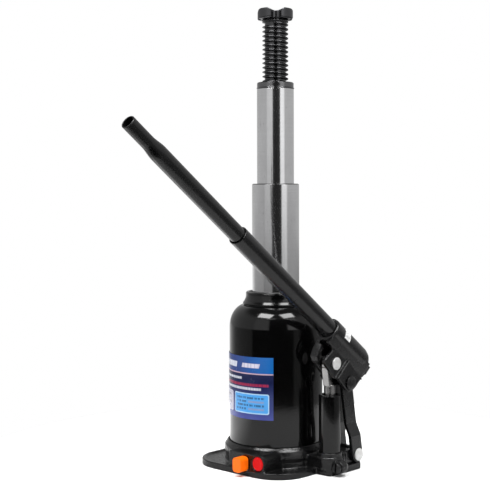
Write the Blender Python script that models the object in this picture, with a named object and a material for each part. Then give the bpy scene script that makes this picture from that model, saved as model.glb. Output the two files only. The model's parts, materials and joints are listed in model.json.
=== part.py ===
"""Two-stage telescoping hydraulic bottle jack, shown fully extended.

Frame: origin on the ram axis at the underside of the base, +Z up, -Y the valve face and the
handle's direction, +X the pump side. Sizes are in millimetres; add_node() turns them into metres.
"""
import math

import bmesh
import bpy
from mathutils import Matrix, Vector

MM = 0.001
GAP = 0.3                    # clearance kept between touching pieces

# ---- driving dimensions, mm ----
FLANGE_X = 66.0              # half width of the base flange
FLANGE_FRONT = -66.0
FLANGE_REAR = 58.0
FLANGE_CORNER = 35.0
FLANGE_TOP = 6.5
FLANGE_RIM = 4.0
FLANGE_RECESS = 1.5
DRUM_TOP = 26.0
WELL_FLOOR = 14.0            # floor of the oil well inside the drum
CASING_R = 49.5
CASING_WALL = 2.5
CASING_BOTTOM = 16.0
DOME_START = 145.4
DOME_RISE = 24.0
DOME_CENTRE_R = 31.0
CASING_TOP = 168.2
CYLINDER_R = 33.5
CYLINDER_BORE = 28.3
CYLINDER_TOP = 163.4
NUT_R = 32.0
NUT_TOP = 182.4
NECK_SEAT = 169.8            # underside of the nut's skirt, on the neck gasket
WIPER_SEAT = 177.4
LOWER_RAM_R = 25.1
LOWER_RAM_BORE = 21.5
LOWER_RAM_BOTTOM = 128.0
LOWER_RAM_TOP = 297.2
UPPER_RAM_R = 19.7
UPPER_RAM_BORE = 14.3
UPPER_RAM_TOP = 398.2
COLLAR_TOP = 405.2
SCREW_CREST = 13.9
SCREW_ROOT = 11.3
SCREW_PITCH = 4.8
SCREW_BOTTOM = 372.0
SADDLE_R = 19.5
SADDLE_BOTTOM = 472.6
SADDLE_TOP = 483.5
PUMP_X = 74.0                # pump axis, parallel to Z
PUMP_TUBE_R = 11.2
PUMP_TUBE_TOP = 81.0
GLAND_SEAT = 70.0            # deep enough for the plunger's tongue at full stroke
PUMP_BORE = 6.6
PUMP_FLOOR = 14.5
PLUNGER_R = 5.9
PLUNGER_BOTTOM = 34.0
TONGUE_BOTTOM = 91.2
TONGUE_HALF = 4.0
EYE_R = 9.5
PIN_R = 4.0
PIN_LOWER = (31.5, 15.8)     # (Y, Z) of the three linkage pins
PIN_UPPER = (18.6, 91.5)
PIN_PLUNGER = (0.0, 113.2)
UPPER_HOLE_R = 6.2           # the ears' hole round the upper pin: the linkage is opened here
EAR_INNER = 4.3              # from the pump axis to an ear's inner face, beside the plunger
EAR_SHEET = 4.0
EAR_STEP = 4.2               # how far the ears step outward round the link
EAR_CREASE = -16.0           # lift off the handle's axis where the flanks end and the step's crease starts
CREASE_ANGLE = 44.5          # the crease's slope below horizontal, steeper than the handle's
EAR_STEP_LINE = 18.5         # from the upper pin back towards the plunger pin
HANDLE_ANGLE = 36.8          # degrees above horizontal at rest
SLEEVE_MOUTH = (-2.6, 148.9)  # (Y, Z) of the sleeve's mouth centre
SLEEVE_LENGTH = 74.0
SLEEVE_R = 12.7
SLEEVE_BORE = 10.2
HANDLE_R = 9.8
HANDLE_BORE = 8.55
HANDLE_INSERT = 50.0
HANDLE_END = 165.5
GRIP_R = 8.25
GRIP_BORE = 7.05
GRIP_START = 126.0
GRIP_TAPER_START = 297.0
GRIP_TAPER_END = 305.4
GRIP_TIP_R = 6.7
GRIP_TIP_BORE = 5.5
GRIP_END = 332.6
VALVE_X = 90.5               # release valve axis, parallel to Y
VALVE_Z = 9.3
VALVE_FACE = -7.3            # front of the valve's housing
FRONT_FACE = -64.0
CAP_X = 14.6                 # overload valve axis, parallel to Y
CAP_Z = 12.4
OVERLOAD_Z = 8.2             # the overload valve lies below the middle of its cap
PLUG_X = 32.5
PLUG_Z = 14.1
FILLER_Z = 120.0

# ---- facets round a turned piece ----
FINE = 32
MEDIUM = 24
SMALL = 16
TINY = 12

# ---- finishes: colour, roughness, metallic ----
FINISHES = {
    "black_enamel": ((0.012, 0.012, 0.014), 0.28, 0.0),
    "satin_black": ((0.02, 0.02, 0.022), 0.42, 0.0),
    "ground_steel": ((0.62, 0.62, 0.64), 0.22, 1.0),
    "turned_steel": ((0.42, 0.42, 0.44), 0.38, 1.0),
    "dark_steel": ((0.16, 0.16, 0.17), 0.45, 1.0),
    "zinc": ((0.75, 0.75, 0.76), 0.3, 1.0),
    "seal_rubber": ((0.02, 0.02, 0.02), 0.7, 0.0),
    "orange_plastic": ((0.85, 0.16, 0.02), 0.4, 0.0),
    "red_plastic": ((0.6, 0.03, 0.03), 0.4, 0.0),
    "label_film": ((0.03, 0.12, 0.42), 0.35, 0.0),
    "white_film": ((0.85, 0.85, 0.84), 0.5, 0.0),
}


def clear_scene():
    for item in list(bpy.data.objects):
        bpy.data.objects.remove(item)


def finish_material(name):
    material = bpy.data.materials.get(name)
    if material is None:
        colour, roughness, metallic = FINISHES[name]
        material = bpy.data.materials.new(name)
        material.use_nodes = True
        shader = material.node_tree.nodes["Principled BSDF"]
        shader.inputs["Base Color"].default_value = (*colour, 1.0)
        shader.inputs["Roughness"].default_value = roughness
        shader.inputs["Metallic"].default_value = metallic
    return material


# ---- shape helpers: each returns a bmesh in millimetres ----
def turned(profile, segments=FINE):
    """Spin a closed (r, z) outline about Z."""
    shape = bmesh.new()
    corners = [shape.verts.new((r, 0.0, z)) for r, z in profile]
    edges = [shape.edges.new((a, b)) for a, b in zip(corners, corners[1:] + corners[:1])
             if a.co.x > 1e-6 or b.co.x > 1e-6]
    bmesh.ops.spin(shape, geom=corners + edges, cent=(0, 0, 0), axis=(0, 0, 1),
                   angle=2 * math.pi, steps=segments, use_duplicate=False)
    bmesh.ops.remove_doubles(shape, verts=shape.verts, dist=1e-3)
    loose = [vert for vert in shape.verts if not vert.link_faces]
    bmesh.ops.delete(shape, geom=loose, context="VERTS")
    bmesh.ops.recalc_face_normals(shape, faces=shape.faces)
    return shape


def tube(outer, inner, low, high, segments=FINE):
    return turned([(inner, low), (outer, low), (outer, high), (inner, high)], segments)


def rod(radius, low, high, segments=SMALL):
    return turned([(0, low), (radius, low), (radius, high), (0, high)], segments)


def prism(outline, low, high, axis="Z"):
    """Extrude a flat outline. Its two coordinates are XY for axis Z, YZ for X, and XZ for Y."""
    shape = bmesh.new()
    place = {"Z": lambda a, b, c: (a, b, c), "X": lambda a, b, c: (c, a, b),
             "Y": lambda a, b, c: (a, c, b)}[axis]
    face = shape.faces.new([shape.verts.new(place(a, b, low)) for a, b in outline])
    moved = bmesh.ops.extrude_face_region(shape, geom=[face])["geom"]
    shift = Vector(place(0, 0, high - low))
    bmesh.ops.translate(shape, vec=shift, verts=[v for v in moved if isinstance(v, bmesh.types.BMVert)])
    bmesh.ops.recalc_face_normals(shape, faces=shape.faces)
    return shape


def arc(centre, radius, start, stop, steps):
    """Points on an arc, angles in degrees."""
    angles = [math.radians(start + (stop - start) * i / steps) for i in range(steps + 1)]
    return [(centre[0] + radius * math.cos(a), centre[1] + radius * math.sin(a)) for a in angles]


def rounded_box(low_a, high_a, low_b, high_b, radius, steps=5):
    """A rectangle's outline with round corners."""
    corners = (((high_a, high_b), 0), ((low_a, high_b), 90), ((low_a, low_b), 180), ((high_a, low_b), 270))
    points = []
    for (a, b), start in corners:
        centre = (a - math.copysign(radius, a - (low_a + high_a) / 2),
                  b - math.copysign(radius, b - (low_b + high_b) / 2))
        points += arc(centre, radius, start, start + 90, steps)
    return points


def oriented(shape, axis, origin=(0, 0, 0)):
    """Turn a shape made along Z so that it lies along X, -Y or the handle, and move it."""
    turns = {"Z": Matrix.Identity(4), "X": Matrix.Rotation(math.pi / 2, 4, "Y"),
             "-Y": Matrix.Rotation(math.pi / 2, 4, "X"),
             "handle": Matrix.Rotation(math.radians(90 - HANDLE_ANGLE), 4, "X")}
    bmesh.ops.transform(shape, matrix=Matrix.Translation(origin) @ turns[axis], verts=shape.verts)
    return shape


# ---- objects ----
def add_node(name, shape, finish, origin=(0, 0, 0), parent_group=None):
    """One named object from a shape in millimetres, with its origin at a point in millimetres."""
    bmesh.ops.translate(shape, vec=-Vector(origin), verts=shape.verts)
    bmesh.ops.scale(shape, vec=(MM, MM, MM), verts=shape.verts)
    mesh = bpy.data.meshes.new(name)
    shape.to_mesh(mesh)
    shape.free()
    mesh.shade_smooth()
    mesh.set_sharp_from_angle(angle=math.radians(35))
    mesh.materials.append(finish_material(finish))
    item = bpy.data.objects.new(name, mesh)
    item.location = Vector(origin) * MM
    (parent_group or bpy.context.collection).objects.link(item)
    return item


def combine(item, operation, shapes):
    """Cut, join or intersect an object with a group of shapes through one exact Boolean modifier."""
    group = bpy.data.collections.new(f"{item.name}_{operation.lower()}")
    bpy.context.scene.collection.children.link(group)
    for number, shape in enumerate(shapes):
        tool = add_node(f"tool_{item.name}_{number}", shape, "dark_steel", parent_group=group)
        tool.hide_render = True
        tool.display_type = "WIRE"
    boolean = item.modifiers.new(operation.lower(), "BOOLEAN")
    boolean.operation = operation
    boolean.solver = "EXACT"
    boolean.operand_type = "COLLECTION"
    boolean.collection = group


def cut(item, *shapes):
    combine(item, "DIFFERENCE", shapes)


def join(item, *shapes):
    combine(item, "UNION", shapes)


# ---- base ----
def base_casting():
    plate = rounded_box(-FLANGE_X, FLANGE_X, FLANGE_FRONT, FLANGE_REAR, FLANGE_CORNER, 8)
    item = add_node("base_casting", prism(plate, 0, FLANGE_TOP), "black_enamel")
    recess = rounded_box(-FLANGE_X + FLANGE_RIM, FLANGE_X - FLANGE_RIM, FLANGE_FRONT + FLANGE_RIM,
                         FLANGE_REAR - FLANGE_RIM, FLANGE_CORNER - FLANGE_RIM, 8)
    cut(item, prism(recess, FLANGE_TOP - FLANGE_RECESS, FLANGE_TOP + 1))
    drum = [(0, 2), (54, 2), (54, 12), (55.1, 14.5), (55.4, 18), (54.4, 22), (51.7, 25), (51.5, DRUM_TOP),
            (0, DRUM_TOP)]
    valve_boss = [(-8, 0), (40.6, 0), (40.6, 19.5), (39.5, 21.8), (37.4, 22.75), (-6, 22.75), (-8, 21)]
    pump_block = rounded_box(30, 84, -12, 15, 3, 3)
    sole = rounded_box(56, 84.6, -11, 15, 3, 3)
    boss = [(0, 7), (13.6, 7), (14.3, 8), (14.3, 17.6), (13.1, 18.4), (13.1, 22.4), (12.5, 23), (0, 23)]
    foot = rounded_box(63, 85.6, 8, 39, 4, 3)
    shell = [(0, -4.4), (4.6, -4.4), (6.5, 0), (6.5, -VALVE_FACE), (0, -VALVE_FACE)]
    housing = oriented(turned(shell, MEDIUM), "-Y", (VALVE_X, 0, VALVE_Z))
    lug_y, lug_z = PIN_LOWER
    lug = [(10, 2), (lug_y + 8, 2)] + arc((lug_y, lug_z), 8, 0, 130, 8) + [(10, 16)]
    join(item, turned(drum, FINE), prism(valve_boss, FRONT_FACE, -20, "Y"), prism(pump_block, 0, 18),
         prism(sole, 0, 8), oriented(turned(boss, MEDIUM), "Z", (PUMP_X, 0, 0)), prism(foot, 0, 7), housing,
         prism(lug, PUMP_X - 7.9, PUMP_X + 7.9, "X"))
    oil_well = rod(CASING_R + GAP, WELL_FLOOR, DRUM_TOP + 4, FINE)
    pump_seat = oriented(rod(PUMP_TUBE_R + GAP, PUMP_FLOOR, 30, MEDIUM), "Z", (PUMP_X, 0, 0))
    suction_seat = oriented(rod(3.6, 7.4, PUMP_FLOOR + 1, TINY), "Z", (PUMP_X, 0, 0))
    pump_passage = oriented(rod(1.8, 8, PUMP_X - 2, TINY), "X", (0, 0, 9))
    ram_passage = oriented(rod(3, 6, WELL_FLOOR + 2, TINY), "Z", (9, 0, 0))
    stepped = [(0, 0.2), (3.5, 0.2), (3.5, 7.3), (5.5, 7.3), (5.5, 18), (0, 18)]
    valve_bore = oriented(turned(stepped, SMALL), "-Y", (VALVE_X, 0, VALVE_Z))
    valve_seat = oriented(rod(2.4, -3.9, 0.4, TINY), "-Y", (VALVE_X, 0, VALVE_Z))
    release_passage = oriented(rod(1.2, 73, VALVE_X, TINY), "X", (0, 1.5, VALVE_Z))
    overload_bore = oriented(rod(4.8, 34, 68, SMALL), "-Y", (CAP_X, 0, OVERLOAD_Z))
    overload_passage = oriented(rod(1.5, -1, 36, TINY), "-Y", (CAP_X, 0, OVERLOAD_Z + 0.25))
    plug_seat = oriented(rod(7.2, 60.5, 68, SMALL), "-Y", (PLUG_X, 0, PLUG_Z))
    plugged_passage = oriented(rod(2, 20, 62, TINY), "-Y", (PLUG_X, 0, PLUG_Z - 3))
    pin_hole = oriented(rod(PIN_R + GAP, PUMP_X - 12, PUMP_X + 12, SMALL), "X", (0, lug_y, lug_z))
    cap_seat = prism(rounded_box(CAP_X - 6.2, CAP_X + 6.2, CAP_Z - 7.9, CAP_Z + 7.9, 3.3, 4),
                     FLANGE_FRONT - 2, FRONT_FACE + 0.5, "Y")
    cut(item, cap_seat, oil_well, pump_seat, suction_seat, pump_passage, ram_passage, valve_bore, valve_seat,
        release_passage, overload_bore, overload_passage, plug_seat, plugged_passage, pin_hole)


def casing_and_gaskets():
    inner = CASING_R - CASING_WALL
    rise = [(DOME_CENTRE_R + (CASING_R - DOME_CENTRE_R) * math.cos(math.radians(t)),
             DOME_START + DOME_RISE * math.sin(math.radians(t))) for t in range(0, 73, 12)]
    fall = [(DOME_CENTRE_R + (inner - DOME_CENTRE_R) * math.cos(math.radians(t)),
             DOME_START + (DOME_RISE - CASING_WALL) * math.sin(math.radians(t))) for t in range(72, -1, -36)]
    profile = [(inner, CASING_BOTTOM), (CASING_R, CASING_BOTTOM)] + rise
    profile += [(30.0, CASING_TOP), (30.0, CASING_TOP - CASING_WALL)] + fall
    casing = add_node("reservoir_casing", turned(profile, FINE), "black_enamel")
    cut(casing, oriented(rod(4.3, -60, -40, SMALL), "-Y", (0, 0, FILLER_Z)))
    plug = [(0, -52.6), (6.2, -52), (6.2, -50.2), (3.9, -50), (3.9, -44), (0, -43.5)]
    add_node("oil_filler_plug", oriented(turned(plug, SMALL), "-Y", (0, 0, FILLER_Z)), "seal_rubber")
    gasket_low = WELL_FLOOR + GAP
    gasket_high = CASING_BOTTOM - GAP
    add_node("casing_gasket", tube(CASING_R, inner, gasket_low, gasket_high, FINE), "seal_rubber")
    add_node("cylinder_washer", tube(CYLINDER_R, CYLINDER_BORE, gasket_low, gasket_high, MEDIUM), "turned_steel")
    add_node("top_gasket", tube(34.2, 30.3, CASING_TOP + GAP, NECK_SEAT - GAP, MEDIUM), "seal_rubber")


def cylinder_and_nut():
    cylinder = tube(CYLINDER_R, CYLINDER_BORE, CASING_BOTTOM, CYLINDER_TOP, FINE)
    add_node("main_cylinder", cylinder, "ground_steel")
    bore = LOWER_RAM_R + GAP
    nut = [(bore, 150), (28.0, 150), (28.0, CYLINDER_TOP + GAP), (29.6, CYLINDER_TOP + GAP),
           (29.6, NECK_SEAT), (35.4, NECK_SEAT), (35.2, NECK_SEAT + 0.8), (33.6, NECK_SEAT + 3.2),
           (32.3, NECK_SEAT + 6), (NUT_R, NECK_SEAT + 8), (NUT_R, NUT_TOP - 1), (31, NUT_TOP),
           (28.5, NUT_TOP), (28.5, WIPER_SEAT), (bore, WIPER_SEAT)]
    add_node("top_nut", turned(nut, FINE), "black_enamel")
    wiper = [(bore, WIPER_SEAT + GAP), (28.2, WIPER_SEAT + GAP), (28.2, NUT_TOP - 0.4),
             (26.4, NUT_TOP + 0.6), (bore, NUT_TOP)]
    add_node("ram_wiper", turned(wiper, FINE), "seal_rubber")


# ---- rams ----
def lower_stage():
    bush_seat = LOWER_RAM_TOP - 20
    profile = [(LOWER_RAM_BORE - 1.2, LOWER_RAM_BOTTOM), (LOWER_RAM_R, LOWER_RAM_BOTTOM),
               (LOWER_RAM_R, LOWER_RAM_TOP - 1), (LOWER_RAM_R - 1, LOWER_RAM_TOP),
               (LOWER_RAM_BORE, LOWER_RAM_TOP), (LOWER_RAM_BORE, LOWER_RAM_BOTTOM + 8),
               (LOWER_RAM_BORE - 1.2, LOWER_RAM_BOTTOM + 8)]
    add_node("lower_ram", turned(profile, FINE), "ground_steel")
    head = tube(28.0, LOWER_RAM_R + GAP, LOWER_RAM_BOTTOM + 3.5, LOWER_RAM_BOTTOM + 19, FINE)
    add_node("lower_piston_head", head, "turned_steel")
    seal = tube(28.0, LOWER_RAM_R + GAP, LOWER_RAM_BOTTOM, LOWER_RAM_BOTTOM + 3.2, FINE)
    add_node("lower_cup_seal", seal, "seal_rubber")
    bush = tube(LOWER_RAM_BORE - GAP, UPPER_RAM_R + GAP, bush_seat, LOWER_RAM_TOP - 0.4, MEDIUM)
    add_node("stage_bush", bush, "turned_steel")


def upper_stage():
    profile = [(0, 258), (15, 258), (15, 268), (21.2, 268), (21.2, 273), (UPPER_RAM_R, 273),
               (UPPER_RAM_R, UPPER_RAM_TOP), (17, UPPER_RAM_TOP), (17, UPPER_RAM_TOP + 5),
               (UPPER_RAM_BORE, UPPER_RAM_TOP + 5), (UPPER_RAM_BORE, 300), (0, 300)]
    add_node("upper_ram", turned(profile, MEDIUM), "ground_steel")
    add_node("upper_cup_seal", tube(21.2, 15 + GAP, 260, 268 - GAP, MEDIUM), "seal_rubber")
    collar = [(17.3, UPPER_RAM_TOP + GAP), (20.1, UPPER_RAM_TOP + GAP), (20.1, UPPER_RAM_TOP + 1.3),
              (19.7, UPPER_RAM_TOP + 1.6), (19.7, COLLAR_TOP - 0.8), (19.0, COLLAR_TOP), (17.3, COLLAR_TOP)]
    add_node("ram_collar", turned(collar, MEDIUM), "satin_black")


def thread(segments=TINY, levels_per_turn=3):
    """The threaded length of the screw: rings whose radius follows the helix's phase."""
    low = SCREW_BOTTOM + 8
    high = SADDLE_BOTTOM - GAP
    levels = round((high - low) / SCREW_PITCH * levels_per_turn)
    shape = bmesh.new()
    rings = []
    for level in range(levels + 1):
        z = low + (high - low) * level / levels
        ring = []
        for step in range(segments):
            phase = ((z - low) / SCREW_PITCH - step / segments) % 1.0
            lift = min(max(2.6 * abs(phase - 0.5) * 2 - 0.8, 0.0), 1.0)
            radius = SCREW_ROOT + (SCREW_CREST - SCREW_ROOT) * lift
            angle = 2 * math.pi * step / segments
            ring.append(shape.verts.new((radius * math.cos(angle), radius * math.sin(angle), z)))
        rings.append(ring)
    for below, above in zip(rings, rings[1:]):
        for i in range(segments):
            j = (i + 1) % segments
            shape.faces.new((below[i], below[j], above[j], above[i]))
    shape.faces.new(reversed(rings[0]))
    shape.faces.new(rings[-1])
    return shape


def screw_and_saddle():
    screw = add_node("extension_screw", thread(), "dark_steel")
    join(screw, rod(9, SCREW_BOTTOM, SCREW_BOTTOM + 10, SMALL), rod(12, SCREW_BOTTOM, SCREW_BOTTOM + 2, SMALL),
         rod(8, SADDLE_BOTTOM - 4, SADDLE_BOTTOM + 6, SMALL))
    stop = tube(14.0, 9 + GAP, SCREW_BOTTOM + 2.6, SCREW_BOTTOM + 6, MEDIUM)
    add_node("screw_stop_ring", stop, "turned_steel")
    body = [(0, SADDLE_BOTTOM), (18.2, SADDLE_BOTTOM), (SADDLE_R, SADDLE_BOTTOM + 1),
            (SADDLE_R, SADDLE_TOP - 0.8), (18.4, SADDLE_TOP), (0, SADDLE_TOP)]
    saddle = add_node("saddle", turned(body, FINE), "dark_steel")
    cutters = [rod(8 + GAP, SADDLE_BOTTOM - 2, SADDLE_BOTTOM + 6 + GAP, SMALL)]
    for corner in range(4):
        angle = math.radians(45 + 90 * corner)
        notch = rod(5.4, SADDLE_BOTTOM - 2, SADDLE_TOP + 2, SMALL)
        cutters.append(oriented(notch, "Z", (20.2 * math.cos(angle), 20.2 * math.sin(angle), 0)))
    for angle in (45, 135):
        groove = oriented(rod(15.0, -30, 30, MEDIUM), "X", (0, 0, SADDLE_TOP + 12.0))
        bmesh.ops.rotate(groove, matrix=Matrix.Rotation(math.radians(angle), 3, "Z"), verts=groove.verts)
        cutters.append(groove)
    cut(saddle, *cutters)


# ---- pump ----
def pump():
    centre = (PUMP_X, 0, 0)
    tube_profile = [(PUMP_BORE, PUMP_FLOOR + GAP), (PUMP_TUBE_R, PUMP_FLOOR + GAP),
                    (PUMP_TUBE_R, PUMP_TUBE_TOP - 0.8), (PUMP_TUBE_R - 0.8, PUMP_TUBE_TOP),
                    (8.3, PUMP_TUBE_TOP), (8.3, GLAND_SEAT), (PUMP_BORE, GLAND_SEAT)]
    add_node("pump_cylinder", oriented(turned(tube_profile, MEDIUM), "Z", centre), "black_enamel")
    gland = tube(8.0, PLUNGER_R + GAP, GLAND_SEAT + GAP, GLAND_SEAT + 4.6, MEDIUM)
    add_node("pump_gland_seal", oriented(gland, "Z", centre), "seal_rubber")
    profile = [(0, PLUNGER_BOTTOM), (3.4, PLUNGER_BOTTOM), (3.4, PLUNGER_BOTTOM + 5),
               (PLUNGER_R, PLUNGER_BOTTOM + 5), (PLUNGER_R, TONGUE_BOTTOM), (0, TONGUE_BOTTOM)]
    pivot = (PUMP_X, *PIN_PLUNGER)
    plunger = add_node("pump_plunger", oriented(turned(profile, MEDIUM), "Z", centre), "ground_steel", pivot)
    neck_y, neck_z = PIN_PLUNGER
    tongue = [(-5.8, TONGUE_BOTTOM - 1.0), (5.8, TONGUE_BOTTOM - 1.0)] + arc((neck_y, neck_z), EYE_R, -30, 210, 14)
    join(plunger, prism(tongue, PUMP_X - TONGUE_HALF, PUMP_X + TONGUE_HALF, "X"))
    cut(plunger, oriented(rod(PIN_R + GAP, PUMP_X - 8, PUMP_X + 8, SMALL), "X", (0, neck_y, neck_z)))
    seal = tube(PUMP_BORE - 0.1, 3.4 + GAP, PLUNGER_BOTTOM + 0.4, PLUNGER_BOTTOM + 4.7, MEDIUM)
    add_node("plunger_cup_seal", oriented(seal, "Z", centre), "seal_rubber", pivot)
    add_node("suction_check_ball", ball(3.0, (PUMP_X, 0, 10.6)), "zinc")


def ball(radius, centre):
    shape = bmesh.new()
    bmesh.ops.create_uvsphere(shape, u_segments=10, v_segments=6, radius=radius,
                              matrix=Matrix.Translation(centre))
    return shape


# ---- handle socket and link ----
def handle_point(distance, lift=0.0):
    """(Y, Z) at a distance along the handle's axis from the sleeve's mouth, lifted off that axis."""
    along = math.radians(HANDLE_ANGLE)
    y = SLEEVE_MOUTH[0] - distance * math.cos(along) + lift * math.sin(along)
    z = SLEEVE_MOUTH[1] + distance * math.sin(along) + lift * math.cos(along)
    return y, z


def along_handle(shape):
    return oriented(shape, "handle", (PUMP_X, *SLEEVE_MOUTH))


def ear(side):
    """One ear's full block, from beside the plunger to outside the link plate."""
    outline = [handle_point(-1, -6), handle_point(-65, -4), (51, 101), (49.5, 96.8), (45.5, 94), (40.5, 92.5),
               (35.3, 92.4), (31.3, 89.3), (27.7, 86.2), (23.5, 83.8), (19, 82.8), (15.2, 82.8), (12.5, 84.6),
               (-16.5, 113.9), (-17.8, 116.4), (-16.5, 118.9), (-4, 127.4), handle_point(-1, -13.6)]
    return prism(outline, PUMP_X + side * EAR_INNER, PUMP_X + side * (EAR_INNER + EAR_STEP + EAR_SHEET), "X")


def step_line(offset):
    """A point on the ears' step line, with the directions across it and towards the upper pin."""
    toward = (Vector(PIN_UPPER) - Vector(PIN_PLUNGER)).normalized()
    across = Vector((-toward.y, toward.x))
    return Vector(PIN_UPPER) + toward * (offset - EAR_STEP_LINE), across, toward


def flat_region():
    """Strip (Y, Z) of the ears on the plunger pin's side of the step line."""
    near, across, toward = step_line(0)
    far = near - toward * 60
    return [tuple(p) for p in (near + across * 60, near - across * 60, far - across * 60, far + across * 60)]


def crease_line(inset):
    """Where the step line meets the crease, the crease's direction, and the one across the step line."""
    near, across, toward = step_line(inset)
    start = Vector(handle_point(0, EAR_CREASE - inset))
    handle_way = Vector(handle_point(-1, 0)) - Vector(handle_point(0, 0))
    gap = start - near
    reach = (gap.x * handle_way.y - gap.y * handle_way.x) / (across.x * handle_way.y - across.y * handle_way.x)
    slope = math.radians(-CREASE_ANGLE)
    return near + across * reach, Vector((math.cos(slope), math.sin(slope))), across


def pocket():
    """Corner (Y, Z) of the ears that is stepped outward round the link, inside the sheet."""
    corner, along, across = crease_line(1.5)
    low = corner - across * 80
    toward = Vector((across.y, -across.x))
    return [tuple(p) for p in (corner, low, low + toward * 80, corner + along * 80)]


def above_crease():
    """Region (Y, Z) of the ears above the crease, which stays flat."""
    corner, along, across = crease_line(0)
    start = corner - along * 60
    end = corner + along * 80
    normal = Vector((-along.y, along.x))
    return [tuple(p) for p in (start, end, end + normal * 80, start + normal * 80)]


def handle_socket():
    """Sleeve with two ears, flat beside the plunger and stepped outward round the link."""
    end = -SLEEVE_LENGTH
    pivot = (PUMP_X, *PIN_PLUNGER)
    item = add_node("handle_socket", ear(-1), "satin_black", pivot)
    join(item, ear(1))
    steps = []
    for side in (-1, 1):
        face = PUMP_X + side * (EAR_INNER + EAR_SHEET)
        steps.append(prism(pocket(), PUMP_X + side * (EAR_INNER - 1), PUMP_X + side * (EAR_INNER + EAR_STEP), "X"))
        steps.append(prism(flat_region(), face, PUMP_X + side * 20, "X"))
        steps.append(prism(above_crease(), face, PUMP_X + side * 21, "X"))
    cut(item, *steps)
    profile = [(0, 0), (SLEEVE_R - 0.6, 0), (SLEEVE_R, -0.8), (SLEEVE_R, end + 15), (SLEEVE_R - 1.2, end + 9),
               (SLEEVE_R - 4, end + 4), (SLEEVE_R - 8, end + 1), (0, end)]
    flank_x = EAR_INNER + EAR_SHEET + 0.1
    flanks = [(-SLEEVE_R + 0.3, -0.5), (SLEEVE_R - 0.3, -0.5), (flank_x, EAR_CREASE - 0.1),
              (-flank_x, EAR_CREASE - 0.1)]
    heel = [(-11.4, -2.5), (11.4, -2.5), (9.4, -12), (-9.4, -12)]
    tab = [(-17.8, 116), (-14.4, 116.5), (-15.2, 121.5), (-12.4, 127.5), (-6.5, 133), (-6.5, 135), (-10.4, 134.8),
           (-16, 129), (-19.6, 121.8)]
    join(item, along_handle(turned(profile, MEDIUM)), along_handle(prism(flanks, end + 5, -1, "Z")),
         along_handle(prism(heel, end + 1.2, end + 14, "Z")), prism(tab, PUMP_X - 9.5, PUMP_X - 0.5, "X"))
    slot = [(-EAR_INNER, EAR_CREASE - 2), (EAR_INNER, EAR_CREASE - 2), (EAR_INNER, -SLEEVE_R),
            (-EAR_INNER, -SLEEVE_R)]
    cut(item, along_handle(rod(SLEEVE_BORE, end + 7.5, 4, MEDIUM)), along_handle(rod(5, end - 4, end + 12)),
        along_handle(prism(slot, end + 10, 4, "Z")),
        oriented(rod(PIN_R + GAP, PUMP_X - 16, PUMP_X + 16), "X", (0, *PIN_PLUNGER)),
        oriented(rod(UPPER_HOLE_R, PUMP_X - 16, PUMP_X + 16), "X", (0, *PIN_UPPER)))


def link_plate(side):
    """Side plate from the lower pin to the upper pin, set outward over its lowest third."""
    low_y, low_z = PIN_LOWER
    high_y, high_z = PIN_UPPER
    lean = math.degrees(math.atan2(high_z - low_z, high_y - low_y))
    radius = 8.1
    outline = arc(PIN_LOWER, radius, lean + 90, lean + 270, 8) + arc(PIN_UPPER, radius, lean - 90, lean + 90, 8)
    name = "link_plate_right" if side > 0 else "link_plate_left"
    inner, outer = 4.4, 12.3
    lows, highs = sorted((PUMP_X + side * inner, PUMP_X + side * outer))
    item = add_node(name, prism(outline, lows, highs, "X"), "satin_black", (PUMP_X, *PIN_LOWER))
    upper_x, lower_x = inner + 3.9, outer - 4.1
    joggle = [(inner - 2, -20), (lower_x, -20), (lower_x, 35.5), (inner, 47.5), (inner - 2, 47.5)]
    shoulder = [(outer + 2, 120), (upper_x, 120), (upper_x, 47.9), (outer, 35.9), (outer + 2, 35.9)]
    trims = [prism([(PUMP_X + side * x, z) for x, z in trim], -20, 80, "Y") for trim in (joggle, shoulder)]
    holes = [oriented(rod(PIN_R + GAP, PUMP_X - 16, PUMP_X + 16, SMALL), "X", (0, y, z))
             for y, z in (PIN_LOWER, PIN_UPPER)]
    cut(item, *trims, *holes)


def pin(name, centre, reach, head_r, finish, pivot):
    """A headed pin along X with a groove for its clip on the far side."""
    profile = [(0, -reach - 3), (PIN_R - 0.5, -reach - 3), (PIN_R, -reach - 2.5), (PIN_R, -reach - 1.6),
               (2.9, -reach - 1.6), (2.9, -reach - 0.4), (PIN_R, -reach - 0.4), (PIN_R, reach + 0.3),
               (head_r, reach + 0.3), (head_r, reach + 1.6), (head_r - 0.9, reach + 2.3),
               (head_r - 3, reach + 2.7), (0, reach + 2.8)]
    add_node(name, oriented(turned(profile, SMALL), "X", (PUMP_X, *centre)), finish, pivot)
    clip = oriented(tube(6.2, 2.9 + GAP, -reach - 1.3, -reach - 0.7, SMALL), "X", (PUMP_X, *centre))
    add_node(f"{name}_clip", clip, "zinc", pivot)


def pins():
    pin("lower_pin", PIN_LOWER, 12.3, 6.4, "zinc", (PUMP_X, *PIN_LOWER))
    pin("upper_pin", PIN_UPPER, 12.5, 7.2, "satin_black", (PUMP_X, *PIN_LOWER))
    pin("plunger_pin", PIN_PLUNGER, 8.3, 6.4, "zinc", (PUMP_X, *PIN_PLUNGER))


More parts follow.
